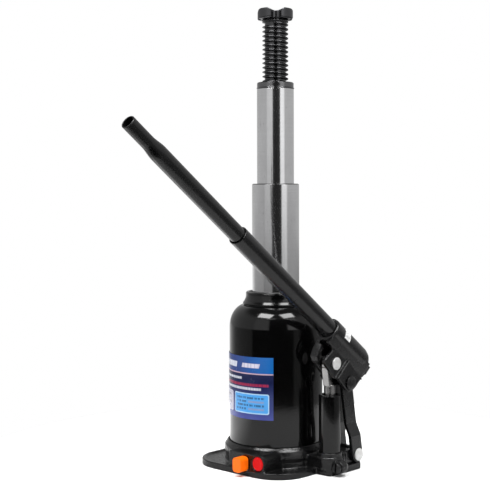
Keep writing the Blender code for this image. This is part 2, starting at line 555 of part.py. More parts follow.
def handle():
    start = -HANDLE_INSERT
    lower = [(HANDLE_BORE, start), (HANDLE_R - 0.3, start), (HANDLE_R, start + 0.5), (HANDLE_R, HANDLE_END - 0.5),
             (HANDLE_R - 0.4, HANDLE_END), (HANDLE_BORE, HANDLE_END)]
    mouth = (PUMP_X, *SLEEVE_MOUTH)
    add_node("handle_lower", along_handle(turned(lower, MEDIUM)), "satin_black", mouth)
    upper = [(GRIP_BORE, GRIP_START), (GRIP_R, GRIP_START), (GRIP_R, GRIP_TAPER_START),
             (GRIP_TIP_R, GRIP_TAPER_END), (GRIP_TIP_R, GRIP_END - 0.5), (GRIP_TIP_R - 0.4, GRIP_END),
             (GRIP_TIP_BORE, GRIP_END), (GRIP_TIP_BORE, GRIP_TAPER_END), (GRIP_BORE, GRIP_TAPER_START)]
    joint = (PUMP_X, *handle_point(HANDLE_END))
    add_node("handle_upper", along_handle(turned(upper, MEDIUM)), "satin_black", joint)


# ---- valves ----
def release_valve():
    """Slotted screw along -Y in its round housing, closing on a ball."""
    centre = (VALVE_X, 0, VALVE_Z)
    profile = [(0, 0.6), (1.2, 0.6), (2.4, 2.0), (3.2, 2.6), (3.2, 3.8), (2.3, 3.8), (2.3, 5.6), (3.2, 5.6),
               (3.2, 7.6), (5.2, 7.6), (5.2, 10.6), (4.4, 11.2), (0, 11.2)]
    origin = (VALVE_X, VALVE_FACE, VALVE_Z)
    item = add_node("release_valve", oriented(turned(profile, MEDIUM), "-Y", centre), "turned_steel", origin)
    slot = rounded_box(VALVE_X - 1.2, VALVE_X + 1.2, VALVE_Z - 8, VALVE_Z + 8, 0.3, 1)
    cut(item, prism(slot, -13, -8.7, "Y"))
    ring = oriented(tube(3.4, 2.3 + GAP, 4.0, 5.4, SMALL), "-Y", centre)
    add_node("release_valve_o_ring", ring, "seal_rubber", origin)
    add_node("release_valve_ball", ball(1.8, (VALVE_X, 1.6, VALVE_Z)), "zinc")


def coil_spring(centre, axis_start, axis_end, coil_r, wire_r, turns):
    """A helical spring along -Y as a curve with filled caps."""
    curve = bpy.data.curves.new("overload_spring", "CURVE")
    curve.dimensions = "3D"
    curve.bevel_depth = wire_r * MM
    curve.bevel_resolution = 1
    curve.use_fill_caps = True
    points = turns * 8
    spline = curve.splines.new("POLY")
    spline.points.add(points)
    for i in range(points + 1):
        angle = 2 * math.pi * i / 8
        y = axis_start + (axis_end - axis_start) * i / points
        position = Vector((centre[0] + coil_r * math.cos(angle), y, centre[1] + coil_r * math.sin(angle)))
        spline.points[i].co = (*(position * MM), 1)
    item = bpy.data.objects.new("overload_spring", curve)
    curve.materials.append(finish_material("turned_steel"))
    bpy.context.collection.objects.link(item)


def front_valves():
    add_node("overload_valve_ball", ball(3.0, (CAP_X, -38.2, OVERLOAD_Z)), "zinc")
    coil_spring((CAP_X, OVERLOAD_Z), -42.8, -53.2, 2.9, 0.7, 4)
    screw = add_node("overload_adjuster", oriented(rod(4.5, 54.6, 62.4, SMALL), "-Y", (CAP_X, 0, OVERLOAD_Z)),
                     "turned_steel")
    slot = rounded_box(CAP_X - 0.8, CAP_X + 0.8, OVERLOAD_Z - 8, OVERLOAD_Z + 8, 0.2, 1)
    cut(screw, prism(slot, -64, -60.4, "Y"))
    cap = rounded_box(CAP_X - 5.9, CAP_X + 5.9, CAP_Z - 7.6, CAP_Z + 7.6, 3, 4)
    item = add_node("overload_cap", prism(cap, FRONT_FACE - 12.4, FRONT_FACE - GAP, "Y"), "orange_plastic")
    bevel = item.modifiers.new("soft_edges", "BEVEL")
    bevel.width = 1.4 * MM
    bevel.segments = 3
    bevel.limit_method = "ANGLE"
    bevel.angle_limit = math.radians(60)
    plug = [(0, 60.9), (6.9, 60.9), (6.9, 64.0), (6.3, 64.5), (3.2, 64.5), (3.2, 63), (0, 63)]
    add_node("passage_plug", oriented(turned(plug, SMALL), "-Y", (PLUG_X, 0, PLUG_Z)), "red_plastic")


# ---- labels ----
def wrapped_film(name, inner, outer, start, stop, low, high, finish, steps):
    """A thin curved sheet round the ram axis; angles in degrees from +X."""
    outline = arc((0, 0), inner, start, stop, steps) + arc((0, 0), outer, stop, start, steps)
    add_node(name, prism(outline, low, high), finish)


def labels():
    wrapped_film("casing_label", CASING_R + GAP, CASING_R + GAP + 0.3, -90 - 87, -90 + 39, 53.9, 118.2,
                 "label_film", MEDIUM)
    film = turned([(SLEEVE_R + GAP, -24.5), (SLEEVE_R + GAP + 0.25, -24.5), (SLEEVE_R + GAP + 0.25, -14.5),
                   (SLEEVE_R + GAP, -14.5)], 64)
    sticker = add_node("socket_sticker", along_handle(film), "white_film", (PUMP_X, *PIN_PLUNGER))
    window = prism([(-6.2, 4), (6.2, 4), (6.2, 30), (-6.2, 30)], -30, -9)
    bmesh.ops.transform(window, matrix=Matrix.Rotation(math.radians(-66), 4, "Z"), verts=window.verts)
    combine(sticker, "INTERSECT", [along_handle(window)])


def main():
    clear_scene()
    base_casting()
    casing_and_gaskets()
    cylinder_and_nut()
    lower_stage()
    upper_stage()
    screw_and_saddle()
    pump()
    handle_socket()
    for side in (-1, 1):
        link_plate(side)
    pins()
    handle()
    release_valve()
    front_valves()
    labels()


main()
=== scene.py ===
"""Looks of the two-stage bottle jack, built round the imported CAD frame."""
import json
import math

import bmesh
import bpy
from mathutils import Matrix, Quaternion, Vector


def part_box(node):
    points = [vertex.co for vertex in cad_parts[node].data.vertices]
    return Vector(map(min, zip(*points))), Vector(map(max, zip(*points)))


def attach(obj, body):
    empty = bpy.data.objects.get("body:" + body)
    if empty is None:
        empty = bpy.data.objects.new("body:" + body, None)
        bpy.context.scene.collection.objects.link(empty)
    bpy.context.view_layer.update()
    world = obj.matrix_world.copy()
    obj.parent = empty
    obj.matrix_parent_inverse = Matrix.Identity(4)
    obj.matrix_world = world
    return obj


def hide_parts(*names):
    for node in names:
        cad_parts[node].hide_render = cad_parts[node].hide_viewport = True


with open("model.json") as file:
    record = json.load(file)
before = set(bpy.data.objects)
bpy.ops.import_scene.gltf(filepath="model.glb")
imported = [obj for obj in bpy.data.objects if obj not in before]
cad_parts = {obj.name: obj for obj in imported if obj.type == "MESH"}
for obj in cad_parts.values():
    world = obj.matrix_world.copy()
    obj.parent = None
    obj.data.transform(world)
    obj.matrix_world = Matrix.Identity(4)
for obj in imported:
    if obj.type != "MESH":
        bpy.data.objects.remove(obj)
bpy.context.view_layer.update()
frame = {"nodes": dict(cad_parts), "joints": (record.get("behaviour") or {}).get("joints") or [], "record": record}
nodes = frame["nodes"]
scene = bpy.context.scene

MM = 0.001
FLOOR_R = 344                # millimetres
CAMERA_DISTANCE = 1.191      # metres from the jack's axis
CAMERA_HEIGHT = 0.289        # metres above the floor
VIEW_AZIMUTH = 42.0          # the photograph's direction, degrees
ROUND = 128                  # facets round a large turned piece
SMALL_ROUND = 64


def extent(node):
    """A CAD node's lowest and highest corners in millimetres."""
    low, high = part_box(node)
    return low / MM, high / MM


# ---------------------------------------------------------------- the linkage, read from the frame
joints = {joint["name"]: joint for joint in frame["joints"]}
PIN_PLUNGER = tuple(value / MM for value in joints["socket_hinge"]["pos_m"][1:])
PIN_LOWER = tuple(value / MM for value in joints["link_hinge"]["pos_m"][1:])
upper_pin_low, upper_pin_high = extent("upper_pin")
PIN_UPPER = ((upper_pin_low.y + upper_pin_high.y) / 2, (upper_pin_low.z + upper_pin_high.z) / 2)
HANDLE_ANGLE = math.degrees(math.atan2(joints["handle_pull"]["axis"][2], -joints["handle_pull"]["axis"][1]))


# ---------------------------------------------------------------- mesh helpers, millimetres
def arc(centre, radius, start, stop, steps):
    angles = [math.radians(start + (stop - start) * i / steps) for i in range(steps + 1)]
    return [(centre[0] + radius * math.cos(a), centre[1] + radius * math.sin(a)) for a in angles]


def filleted(outline, radius, steps=4):
    """A closed outline with every corner off the axis rounded to at most the given radius."""
    points = [Vector(p) for p in outline]
    result = []
    for i, corner in enumerate(points):
        before = points[i - 1] - corner
        after = points[(i + 1) % len(points)] - corner
        if corner.x < 1e-6 or before.length < 1e-6 or after.length < 1e-6:
            result.append(tuple(corner))
            continue
        half = before.angle(after) / 2
        if half > math.radians(86):
            result.append(tuple(corner))
            continue
        reach = min(radius / math.tan(half), 0.45 * before.length, 0.45 * after.length)
        start = corner + before.normalized() * reach
        stop = corner + after.normalized() * reach
        for k in range(steps + 1):
            t = k / steps
            point = start * (1 - t) ** 2 + corner * 2 * t * (1 - t) + stop * t ** 2
            result.append(tuple(point))
    return result


def turned(profile, segments=ROUND):
    shape = bmesh.new()
    corners = [shape.verts.new((r, 0.0, z)) for r, z in profile]
    edges = [shape.edges.new((a, b)) for a, b in zip(corners, corners[1:] + corners[:1])
             if a.co.x > 1e-6 or b.co.x > 1e-6]
    bmesh.ops.spin(shape, geom=corners + edges, cent=(0, 0, 0), axis=(0, 0, 1),
                   angle=2 * math.pi, steps=segments, use_duplicate=False)
    bmesh.ops.remove_doubles(shape, verts=shape.verts, dist=1e-3)
    bmesh.ops.delete(shape, geom=[v for v in shape.verts if not v.link_faces], context="VERTS")
    bmesh.ops.recalc_face_normals(shape, faces=shape.faces)
    return shape


def rod(radius, low, high, segments=SMALL_ROUND):
    return turned([(0, low), (radius, low), (radius, high), (0, high)], segments)


def prism(outline, low, high, axis="Z"):
    """Extrude a flat outline: XY for axis Z, YZ for X, XZ for Y."""
    place = {"Z": lambda a, b, c: (a, b, c), "X": lambda a, b, c: (c, a, b),
             "Y": lambda a, b, c: (a, c, b)}[axis]
    shape = bmesh.new()
    face = shape.faces.new([shape.verts.new(place(a, b, low)) for a, b in outline])
    moved = bmesh.ops.extrude_face_region(shape, geom=[face])["geom"]
    bmesh.ops.translate(shape, vec=Vector(place(0, 0, high - low)),
                        verts=[v for v in moved if isinstance(v, bmesh.types.BMVert)])
    bmesh.ops.recalc_face_normals(shape, faces=shape.faces)
    return shape


def rounded_box(low_a, high_a, low_b, high_b, radius, steps=8):
    corners = (((high_a, high_b), 0), ((low_a, high_b), 90), ((low_a, low_b), 180), ((high_a, low_b), 270))
    points = []
    for (a, b), start in corners:
        centre = (a - math.copysign(radius, a - (low_a + high_a) / 2),
                  b - math.copysign(radius, b - (low_b + high_b) / 2))
        points += arc(centre, radius, start, start + 90, steps)
    return points


def oriented(shape, axis, origin=(0, 0, 0)):
    turns = {"Z": Matrix.Identity(4), "X": Matrix.Rotation(math.pi / 2, 4, "Y"),
             "-Y": Matrix.Rotation(math.pi / 2, 4, "X"),
             "handle": Matrix.Rotation(math.radians(90 - HANDLE_ANGLE), 4, "X")}
    bmesh.ops.transform(shape, matrix=Matrix.Translation(origin) @ turns[axis], verts=shape.verts)
    return shape


def piece(name, shape):
    """A smooth-shaded object in metres from a shape in millimetres."""
    bmesh.ops.scale(shape, vec=(MM, MM, MM), verts=shape.verts)
    mesh = bpy.data.meshes.new(name)
    shape.to_mesh(mesh)
    shape.free()
    mesh.shade_smooth()
    item = bpy.data.objects.new(name, mesh)
    scene.collection.objects.link(item)
    return item


def settle(item):
    """Apply an object's modifiers to its mesh."""
    graph = bpy.context.evaluated_depsgraph_get()
    graph.update()
    mesh = bpy.data.meshes.new_from_object(item.evaluated_get(graph))
    item.modifiers.clear()
    item.data = mesh
    mesh.shade_smooth()
    return item


def combine(item, operation, shapes):
    group = bpy.data.collections.new(f"{item.name}_{operation.lower()}")
    scene.collection.children.link(group)
    tools = []
    for number, shape in enumerate(shapes):
        tool = piece(f"tool_{number}", shape)
        scene.collection.objects.unlink(tool)
        group.objects.link(tool)
        tools.append(tool)
    boolean = item.modifiers.new("boolean", "BOOLEAN")
    boolean.operation = operation
    boolean.solver = "EXACT"
    boolean.operand_type = "COLLECTION"
    boolean.collection = group
    settle(item)
    for tool in tools:
        bpy.data.objects.remove(tool)
    bpy.data.collections.remove(group)
    return item


def softened(item, voxel, passes):
    """Remesh in small voxels and smooth, which rounds every edge as a casting's or pressing's."""
    remesh = item.modifiers.new("voxels", "REMESH")
    remesh.mode = "VOXEL"
    remesh.voxel_size = voxel * MM
    remesh.use_smooth_shade = True
    smooth = item.modifiers.new("smooth", "SMOOTH")
    smooth.factor = 0.5
    smooth.iterations = passes
    return settle(item)


def weighted(item):
    normals = item.modifiers.new("normals", "WEIGHTED_NORMAL")
    normals.mode = "FACE_AREA"
    normals.weight = 60
    return item


def place(item, body, slot, material, *replaced):
    """Give a piece its finish, its body and the CAD nodes it stands for."""
    item.data.materials.clear()
    item.data.materials.append(material)
    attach(item, body)
    if replaced:
        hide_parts(*replaced)
    return item


# ---------------------------------------------------------------- node helpers
class Graph:
    """Short calls for building a material's nodes."""

    def __init__(self, name):
        self.material = bpy.data.materials.new(name)
        self.material.use_nodes = True
        self.tree = self.material.node_tree
        self.shader = self.tree.nodes["Principled BSDF"]
        self.coords = self.node("ShaderNodeTexCoord").outputs["Object"]

    def node(self, kind, **settings):
        made = self.tree.nodes.new(kind)
        for key, value in settings.items():
            setattr(made, key, value)
        return made

    def link(self, source, target):
        self.tree.links.new(source, target)

    def feed(self, target, value):
        if isinstance(value, bpy.types.NodeSocket):
            self.link(value, target)
        else:
            target.default_value = value

    def math(self, operation, a, b=0.0, c=0.0):
        made = self.node("ShaderNodeMath", operation=operation)
        for socket, value in zip(made.inputs, (a, b, c)):
            self.feed(socket, value)
        return made.outputs[0]

    def noise(self, scale, detail=4.0, stretch=(1, 1, 1), roughness=0.5):
        mapping = self.node("ShaderNodeMapping")
        self.link(self.coords, mapping.inputs["Vector"])
        mapping.inputs["Scale"].default_value = stretch
        made = self.node("ShaderNodeTexNoise")
        self.link(mapping.outputs[0], made.inputs["Vector"])
        made.inputs["Scale"].default_value = scale
        made.inputs["Detail"].default_value = detail
        made.inputs["Roughness"].default_value = roughness
        return made.outputs["Fac"]

    def ramp(self, value, low, high, to_low=0.0, to_high=1.0, smooth=False):
        made = self.node("ShaderNodeMapRange")
        made.interpolation_type = "SMOOTHSTEP" if smooth else "LINEAR"
        self.feed(made.inputs["Value"], value)
        for key, number in (("From Min", low), ("From Max", high), ("To Min", to_low), ("To Max", to_high)):
            made.inputs[key].default_value = number
        return made.outputs[0]

    def mix(self, factor, first, second):
        made = self.node("ShaderNodeMix", data_type="RGBA")
        self.feed(made.inputs["Factor"], factor)
        self.feed(made.inputs[6], first)
        self.feed(made.inputs[7], second)
        return made.outputs[2]

    def bump(self, height, strength, distance):
        made = self.node("ShaderNodeBump")
        made.inputs["Strength"].default_value = strength
        made.inputs["Distance"].default_value = distance
        self.feed(made.inputs["Height"], height)
        self.link(made.outputs[0], self.shader.inputs["Normal"])

    def set(self, **values):
        for key, value in values.items():
            self.feed(self.shader.inputs[key.replace("_", " ")], value)


def grey(value, alpha=1.0):
    return (value, value, value, alpha)


def dust(g, scale, amount):
    """A mask of small pale specks."""
    cells = g.node("ShaderNodeTexVoronoi", feature="F1")
    g.link(g.coords, cells.inputs["Vector"])
    cells.inputs["Scale"].default_value = scale
    near = g.ramp(cells.outputs["Distance"], 0.05, 0.12, 1.0, 0.0)
    chosen = g.math("GREATER_THAN", g.noise(scale * 0.35, 2.0), 1.0 - amount)
    return g.math("MULTIPLY", near, chosen)


# ---------------------------------------------------------------- materials
def enamel(name, colour, roughness, peel, peel_scale, speck=0.36):
    """Black paint: orange peel, a faint haze and a few dust specks."""
    g = Graph(name)
    haze = g.ramp(g.noise(18, 5.0), 0.3, 0.75)
    base = g.mix(haze, (*[c * 0.8 for c in colour], 1), (*[c * 1.35 for c in colour], 1))
    specks = dust(g, 320, speck)
    g.set(Base_Color=g.mix(g.math("MULTIPLY", specks, 0.5), base, grey(0.3)))
    rough = g.ramp(g.noise(55, 3.0), 0.25, 0.75, roughness * 0.8, roughness * 1.3)
    g.set(Roughness=g.math("ADD", rough, g.math("MULTIPLY", specks, 0.35)))
    g.set(IOR=1.5)
    g.bump(g.math("ADD", g.noise(peel_scale, 3.0), g.math("MULTIPLY", specks, 0.4)), peel, 0.0004)
    return g.material


def steel(name, colour, roughness, rings, ring_strength, anisotropy=0.6, stain=0.2, upward_painted_shade=0.0):
    """Turned steel: fine rings round the axis, soft stains, specks, and painted shade that darkens faces that look
    up.
    """
    g = Graph(name)
    stains = g.ramp(g.noise(70, 6.0, (1, 1, 0.35)), 0.35, 0.8)
    fine = g.noise(1.0, 2.0, (2, 2, rings))
    broad = g.noise(1.0, 2.0, (4, 4, rings * 0.12))
    shade = g.mix(g.math("MULTIPLY", stains, stain), (*colour, 1), (*[c * 0.62 for c in colour], 1))
    shade = g.mix(g.ramp(broad, 0.3, 0.7, 0.0, 0.25), shade, (*[c * 0.75 for c in colour], 1))
    pits = g.ramp(g.noise(700, 3.0, (1, 1, 0.4)), 0.66, 0.76, 0.0, stain)
    shade = g.mix(pits, shade, (*[c * 0.2 for c in colour], 1))
    # painted shade: faces whose normal points up are darkened towards grey 0.02 by the given amount
    if upward_painted_shade:
        split = g.node("ShaderNodeSeparateXYZ")
        g.link(g.node("ShaderNodeTexCoord").outputs["Normal"], split.inputs[0])
        shade = g.mix(g.ramp(split.outputs[2], 0.2, 0.5, 0.0, upward_painted_shade), shade, grey(0.02))
    g.set(Base_Color=shade, Metallic=1.0, Anisotropic=anisotropy, Anisotropic_Rotation=0.25)
    g.set(Roughness=g.ramp(fine, 0.3, 0.7, roughness * 0.85, roughness * 1.2))
    tangent = g.node("ShaderNodeTangent", direction_type="RADIAL", axis="Z")
    g.link(tangent.outputs[0], g.shader.inputs["Tangent"])
    g.bump(fine, ring_strength, 0.00006)
    return g.material


def plastic(name, colour, roughness):
    g = Graph(name)
    tone = g.ramp(g.noise(70, 4.0), 0.3, 0.7)
    darker = tuple(c * 0.86 for c in colour)
    g.set(Base_Color=g.mix(tone, (*darker, 1), (*colour, 1)))
    g.set(Roughness=g.ramp(g.noise(260, 3.0), 0.3, 0.7, roughness * 0.85, roughness * 1.2))
    g.set(Specular_IOR_Level=0.2)
    g.bump(g.noise(900, 2.0), 0.08, 0.0002)
    return g.material


def zinc_plate():
    g = Graph("zinc_plate")
    patches = g.ramp(g.noise(240, 4.0), 0.3, 0.75)
    g.set(Base_Color=g.mix(patches, grey(0.80), (0.62, 0.62, 0.60, 1)), Metallic=0.55)
    g.set(Roughness=g.ramp(g.noise(420, 3.0), 0.3, 0.7, 0.42, 0.6))
    g.bump(g.noise(1300, 2.0), 0.1, 0.0001)
    return g.material


def rubber():
    g = Graph("seal_rubber")
    tone = g.ramp(g.noise(300, 5.0), 0.3, 0.7)
    g.set(Base_Color=g.mix(tone, grey(0.012), grey(0.03)))
    g.set(Roughness=g.ramp(g.noise(500, 3.0), 0.3, 0.7, 0.5, 0.75))
    g.bump(g.noise(1500, 2.0), 0.2, 0.0001)
    return g.material


def label_print():
    """Printed blue label: plain bands, bars and boxes with no words, drawn over the piece's UV map."""
    g = Graph("label_print")
    split = g.node("ShaderNodeSeparateXYZ")
    g.link(g.node("ShaderNodeUVMap", uv_map="label").outputs[0], split.inputs[0])
    u, v = split.outputs[0], split.outputs[1]
    soft = 0.004

    def inside(low_u, high_u, low_v, high_v, slant=0.0):
        across = g.math("ADD", u, g.math("MULTIPLY", v, slant))
        edges = (g.ramp(across, low_u - soft, low_u + soft),
                 g.ramp(across, high_u - soft, high_u + soft, 1, 0),
                 g.ramp(v, low_v - soft, low_v + soft), g.ramp(v, high_v - soft, high_v + soft, 1, 0))
        mask = edges[0]
        for upward_painted_shade in edges[1:]:
            mask = g.math("MULTIPLY", mask, upward_painted_shade)
        return mask

    def rounded(low_u, high_u, low_v, high_v, radius):
        """Distance-based mask of a box with round corners, in label widths."""
        tall = LABEL_HEIGHT / LABEL_WIDTH
        off_u = g.math("ABSOLUTE", g.math("SUBTRACT", u, (low_u + high_u) / 2))
        off_v = g.math("ABSOLUTE", g.math("SUBTRACT", v, (low_v + high_v) / 2))
        past_u = g.math("SUBTRACT", off_u, (high_u - low_u) / 2 - radius)
        past_v = g.math("SUBTRACT", off_v, (high_v - low_v) / 2 - radius / tall)
        du = g.math("MAXIMUM", past_u, 0.0)
        dv = g.math("MAXIMUM", g.math("MULTIPLY", past_v, tall), 0.0)
        away = g.math("SQRT", g.math("ADD", g.math("MULTIPLY", du, du), g.math("MULTIPLY", dv, dv)))
        return g.ramp(away, radius - 0.002, radius + 0.002, 1.0, 0.0)

    def streaks(seed, scale):
        """Broken blocks along u, like the rhythm of printed lines without any letter shapes."""
        wave = g.node("ShaderNodeTexNoise", noise_dimensions="1D")
        g.link(g.math("ADD", g.math("MULTIPLY", u, scale), seed), wave.inputs["W"])
        wave.inputs["Scale"].default_value = 1.0
        wave.inputs["Detail"].default_value = 0.0
        return g.ramp(wave.outputs["Fac"], 0.40, 0.44)

    navy = g.mix(g.ramp(v, 0.0, 0.6), (0.030, 0.045, 0.21, 1), (0.004, 0.007, 0.045, 1))
    colour = g.mix(g.ramp(v, 0.02, 0.16, 1.0, 0.0), navy, (0.045, 0.060, 0.28, 1))
    band = g.mix(g.ramp(u, 0.55, 1.0, smooth=True), (0.018, 0.040, 0.17, 1), (0.0, 0.105, 0.37, 1))
    colour = g.mix(g.ramp(v, 0.735, 0.745), colour, band)
    for low_u, high_u, low_v, high_v, slant, shade, strength in LABEL_BARS:
        broken = g.math("MULTIPLY", streaks(low_v * 50, 75), strength * 0.4)
        broken = g.math("ADD", broken, strength * 0.6) if high_v - low_v > 0.02 else strength
        colour = g.mix(g.math("MULTIPLY", inside(low_u, high_u, low_v, high_v, slant), broken), colour,
                       (*shade, 1))
    for low_u, high_u, low_v, high_v, shade, border, rows in LABEL_BOXES:
        colour = g.mix(rounded(low_u, high_u, low_v, high_v, 0.018), colour, (*border, 1))
        colour = g.mix(rounded(low_u + 0.01, high_u - 0.01, low_v + 0.018, high_v - 0.018, 0.014), colour,
                       (*shade, 1))
        for row in range(rows):
            middle = high_v - 0.074 - row * 0.059
            right_u = high_u - (0.24 if row % 2 else 0.05)
            line = inside(low_u + 0.035, right_u, middle - 0.016, middle + 0.016)
            line = g.math("MULTIPLY", line, g.math("MULTIPLY", streaks(3.7 * row, 60), 0.8))
            colour = g.mix(line, colour, (*[c * 0.2 for c in shade], 1))
            if row % 2:
                tag = inside(high_u - 0.215, high_u - 0.05, middle - 0.016, middle + 0.016)
                colour = g.mix(g.math("MULTIPLY", tag, 0.7), colour, (0.24, 0.27, 0.42, 1))
    fade = g.ramp(g.noise(40, 4.0), 0.3, 0.8, 0.0, 0.12)
    g.set(Base_Color=g.mix(fade, colour, (0.2, 0.24, 0.4, 1)))
    g.set(Roughness=g.ramp(g.noise(120, 3.0), 0.3, 0.7, 0.16, 0.28))
    g.set(Specular_IOR_Level=0.25)
    g.bump(g.noise(500, 3.0), 0.05, 0.0002)
    return g.material


def sticker_print():
    g = Graph("sticker_print")
    tone = g.ramp(g.noise(500, 3.0), 0.42, 0.6)
    g.set(Base_Color=g.mix(tone, grey(0.88), grey(0.62)))
    g.set(Roughness=g.ramp(g.noise(300, 3.0), 0.3, 0.7, 0.4, 0.6))
    g.bump(g.noise(700, 2.0), 0.1, 0.0001)
    return g.material


# u, v ranges on the label, slant, colour, strength
LABEL_BARS = (
    (0.0, 1.0, 0.722, 0.740, 0.0, (0.62, 0.42, 0.50), 0.85),
    (0.25, 0.490, 0.815, 0.905, -0.12, (0.66, 0.68, 0.74), 0.9),
    (0.541, 0.736, 0.825, 0.895, -0.15, (0.66, 0.62, 0.70), 0.9),
    (0.38, 0.665, 0.630, 0.668, 0.0, (0.66, 0.68, 0.76), 0.8),
    (0.22, 0.955, 0.530, 0.572, 0.0, (0.34, 0.020, 0.055), 0.85),
    (0.25, 0.88, 0.468, 0.508, 0.0, (0.66, 0.68, 0.76), 0.8),
)
# u, v ranges, fill, border, lines
LABEL_BOXES = (
    (0.560, 0.960, 0.09, 0.415, (0.06, 0.32, 0.72), (0.38, 0.58, 0.78), 4),
    (0.120, 0.524, 0.09, 0.415, (0.40, 0.40, 0.50), (0.50, 0.50, 0.60), 4),
)

gloss_black = enamel("gloss_black", (0.0014, 0.0014, 0.0015), 0.10, 0.05, 420, 0.0)
cast_black = enamel("cast_black", (0.0035, 0.0035, 0.0037), 0.15, 1.0, 420, 0.05)
satin_black = enamel("satin_black", (0.0045, 0.0045, 0.0048), 0.26, 0.10, 600, 0.08)
handle_black = enamel("handle_black", (0.0045, 0.0045, 0.0048), 0.22, 0.015, 420, 0.05)
# the ram and collar steels carry painted shade on their upward faces
ram_steel = steel("ram_steel", (0.80, 0.80, 0.81), 0.17, 5200, 0.025, stain=0.38, upward_painted_shade=0.9)
plunger_steel = steel("plunger_steel", (0.40, 0.395, 0.39), 0.22, 6000, 0.06)
plain_steel = steel("plain_steel", (0.36, 0.36, 0.37), 0.36, 4000, 0.15)
collar_steel = steel("collar_steel", (0.20, 0.20, 0.205), 0.22, 4000, 0.05, upward_painted_shade=0.6)
screw_steel = steel("screw_steel", (0.095, 0.095, 0.098), 0.24, 2500, 0.10, 0.0, 0.4)
saddle_steel = steel("saddle_steel", (0.10, 0.10, 0.105), 0.25, 2500, 0.08, 0.0, 0.4)
zinc = zinc_plate()
black_rubber = rubber()
orange = plastic("orange_plastic", (0.94, 0.150, 0.001), 0.42)
red = plastic("red_plastic", (0.62, 0.0008, 0.003), 0.45)

# ---------------------------------------------------------------- casing and nut
casing_low, casing_high = extent("reservoir_casing")
CASING_R = casing_high.x
CASING_WALL = 2.5
DOME_START = 145.4
DOME_RISE = 24.0
DOME_CENTRE_R = 31.0


def build_casing():
    inner = CASING_R - CASING_WALL
    rise = [(DOME_CENTRE_R + (CASING_R - DOME_CENTRE_R) * math.cos(math.radians(t)),
             DOME_START + DOME_RISE * math.sin(math.radians(t))) for t in range(0, 73, 4)]
    fall = [(DOME_CENTRE_R + (inner - DOME_CENTRE_R) * math.cos(math.radians(t)),
             DOME_START + (DOME_RISE - CASING_WALL) * math.sin(math.radians(t))) for t in range(72, -1, -12)]
    profile = [(inner, casing_low.z), (CASING_R, casing_low.z)] + rise
    profile += [(30.0, casing_high.z), (30.0, casing_high.z - CASING_WALL)] + fall
    return piece("reservoir_shell", turned(profile, 192))


place(weighted(build_casing()), "base", "black_enamel", gloss_black, "reservoir_casing")

nut_high = extent("top_nut")[1]
NUT_R = 32.0
NECK_SEAT = nut_high.z - 12.6
WIPER_SEAT = nut_high.z - 5.0
nut_profile = filleted([(25.4, 160), (29.6, 160), (29.6, NECK_SEAT), (35.3, NECK_SEAT),
                        (35.2, NECK_SEAT + 0.9),
                        (33.5, NECK_SEAT + 3.2), (32.3, NECK_SEAT + 6), (NUT_R, NECK_SEAT + 8.5),
                        (NUT_R, nut_high.z - 1.2), (30.9, nut_high.z), (28.5, nut_high.z), (28.5, WIPER_SEAT),
                        (25.4, WIPER_SEAT)], 1.0, 6)
place(weighted(piece("gland_nut", turned(nut_profile))), "base", "black_enamel", gloss_black, "top_nut")

wiper_low, wiper_high = extent("ram_wiper")
wiper_profile = filleted([(25.35, wiper_low.z), (28.2, wiper_low.z), (28.2, nut_high.z - 0.4),
                          (26.4, wiper_high.z), (25.35, nut_high.z)], 0.3)
place(piece("wiper_lip", turned(wiper_profile)), "base", "seal_rubber", black_rubber, "ram_wiper")
gasket_low, gasket_high = extent("top_gasket")
gasket_profile = filleted([(30.3, gasket_low.z), (34.2, gasket_low.z), (34.2, gasket_high.z),
                           (30.3, gasket_high.z)], 0.3)
place(piece("neck_gasket", turned(gasket_profile)), "base", "seal_rubber", black_rubber, "top_gasket")

# ---------------------------------------------------------------- rams, screw and saddle
ram_low, ram_high = extent("lower_ram")
LOWER_R = ram_high.x
lower_profile = filleted([(20.3, ram_low.z), (LOWER_R, ram_low.z), (LOWER_R, ram_high.z - 0.9),
                          (LOWER_R - 0.9, ram_high.z), (21.5, ram_high.z), (21.5, 140), (20.3, 140)], 0.5)
place(weighted(piece("lower_ram_tube", turned(lower_profile))), "lower_stage", "ground_steel", ram_steel,
      "lower_ram")
bush_low, bush_high = extent("stage_bush")
bush_profile = filleted([(20.0, bush_low.z), (21.2, bush_low.z), (21.2, bush_high.z),
                         (20.0, bush_high.z)], 0.3)
place(piece("stage_bush_ring", turned(bush_profile)), "lower_stage", "turned_steel", plain_steel,
      "stage_bush")

upper_low, upper_high = extent("upper_ram")
UPPER_R = 19.7
BORE_R = 14.3
collar_low, collar_high = extent("ram_collar")
upper_profile = filleted([(0, upper_low.z), (15, upper_low.z), (15, 268), (21.2, 268), (21.2, 273),
                          (UPPER_R, 273), (UPPER_R, collar_low.z - 0.3), (17, collar_low.z - 0.3),
                          (17, upper_high.z), (BORE_R, upper_high.z), (BORE_R, 300), (0, 300)], 0.35)
place(weighted(piece("upper_ram_tube", turned(upper_profile))), "upper_stage", "ground_steel", ram_steel,
      "upper_ram")
top = collar_high.z
collar_profile = filleted([(17.3, collar_low.z), (20.1, collar_low.z), (20.1, collar_low.z + 1.0),
                           (19.6, collar_low.z + 1.3), (19.6, top - 0.8), (18.9, top), (17.3, top)], 0.4)
place(weighted(piece("collar_ring", turned(collar_profile))), "upper_stage", "satin_black", collar_steel,
      "ram_collar")

screw_low, screw_high = extent("extension_screw")
SCREW_CREST = 13.9
SCREW_ROOT = 11.2
SCREW_PITCH = 4.8
saddle_low, saddle_high = extent("saddle")


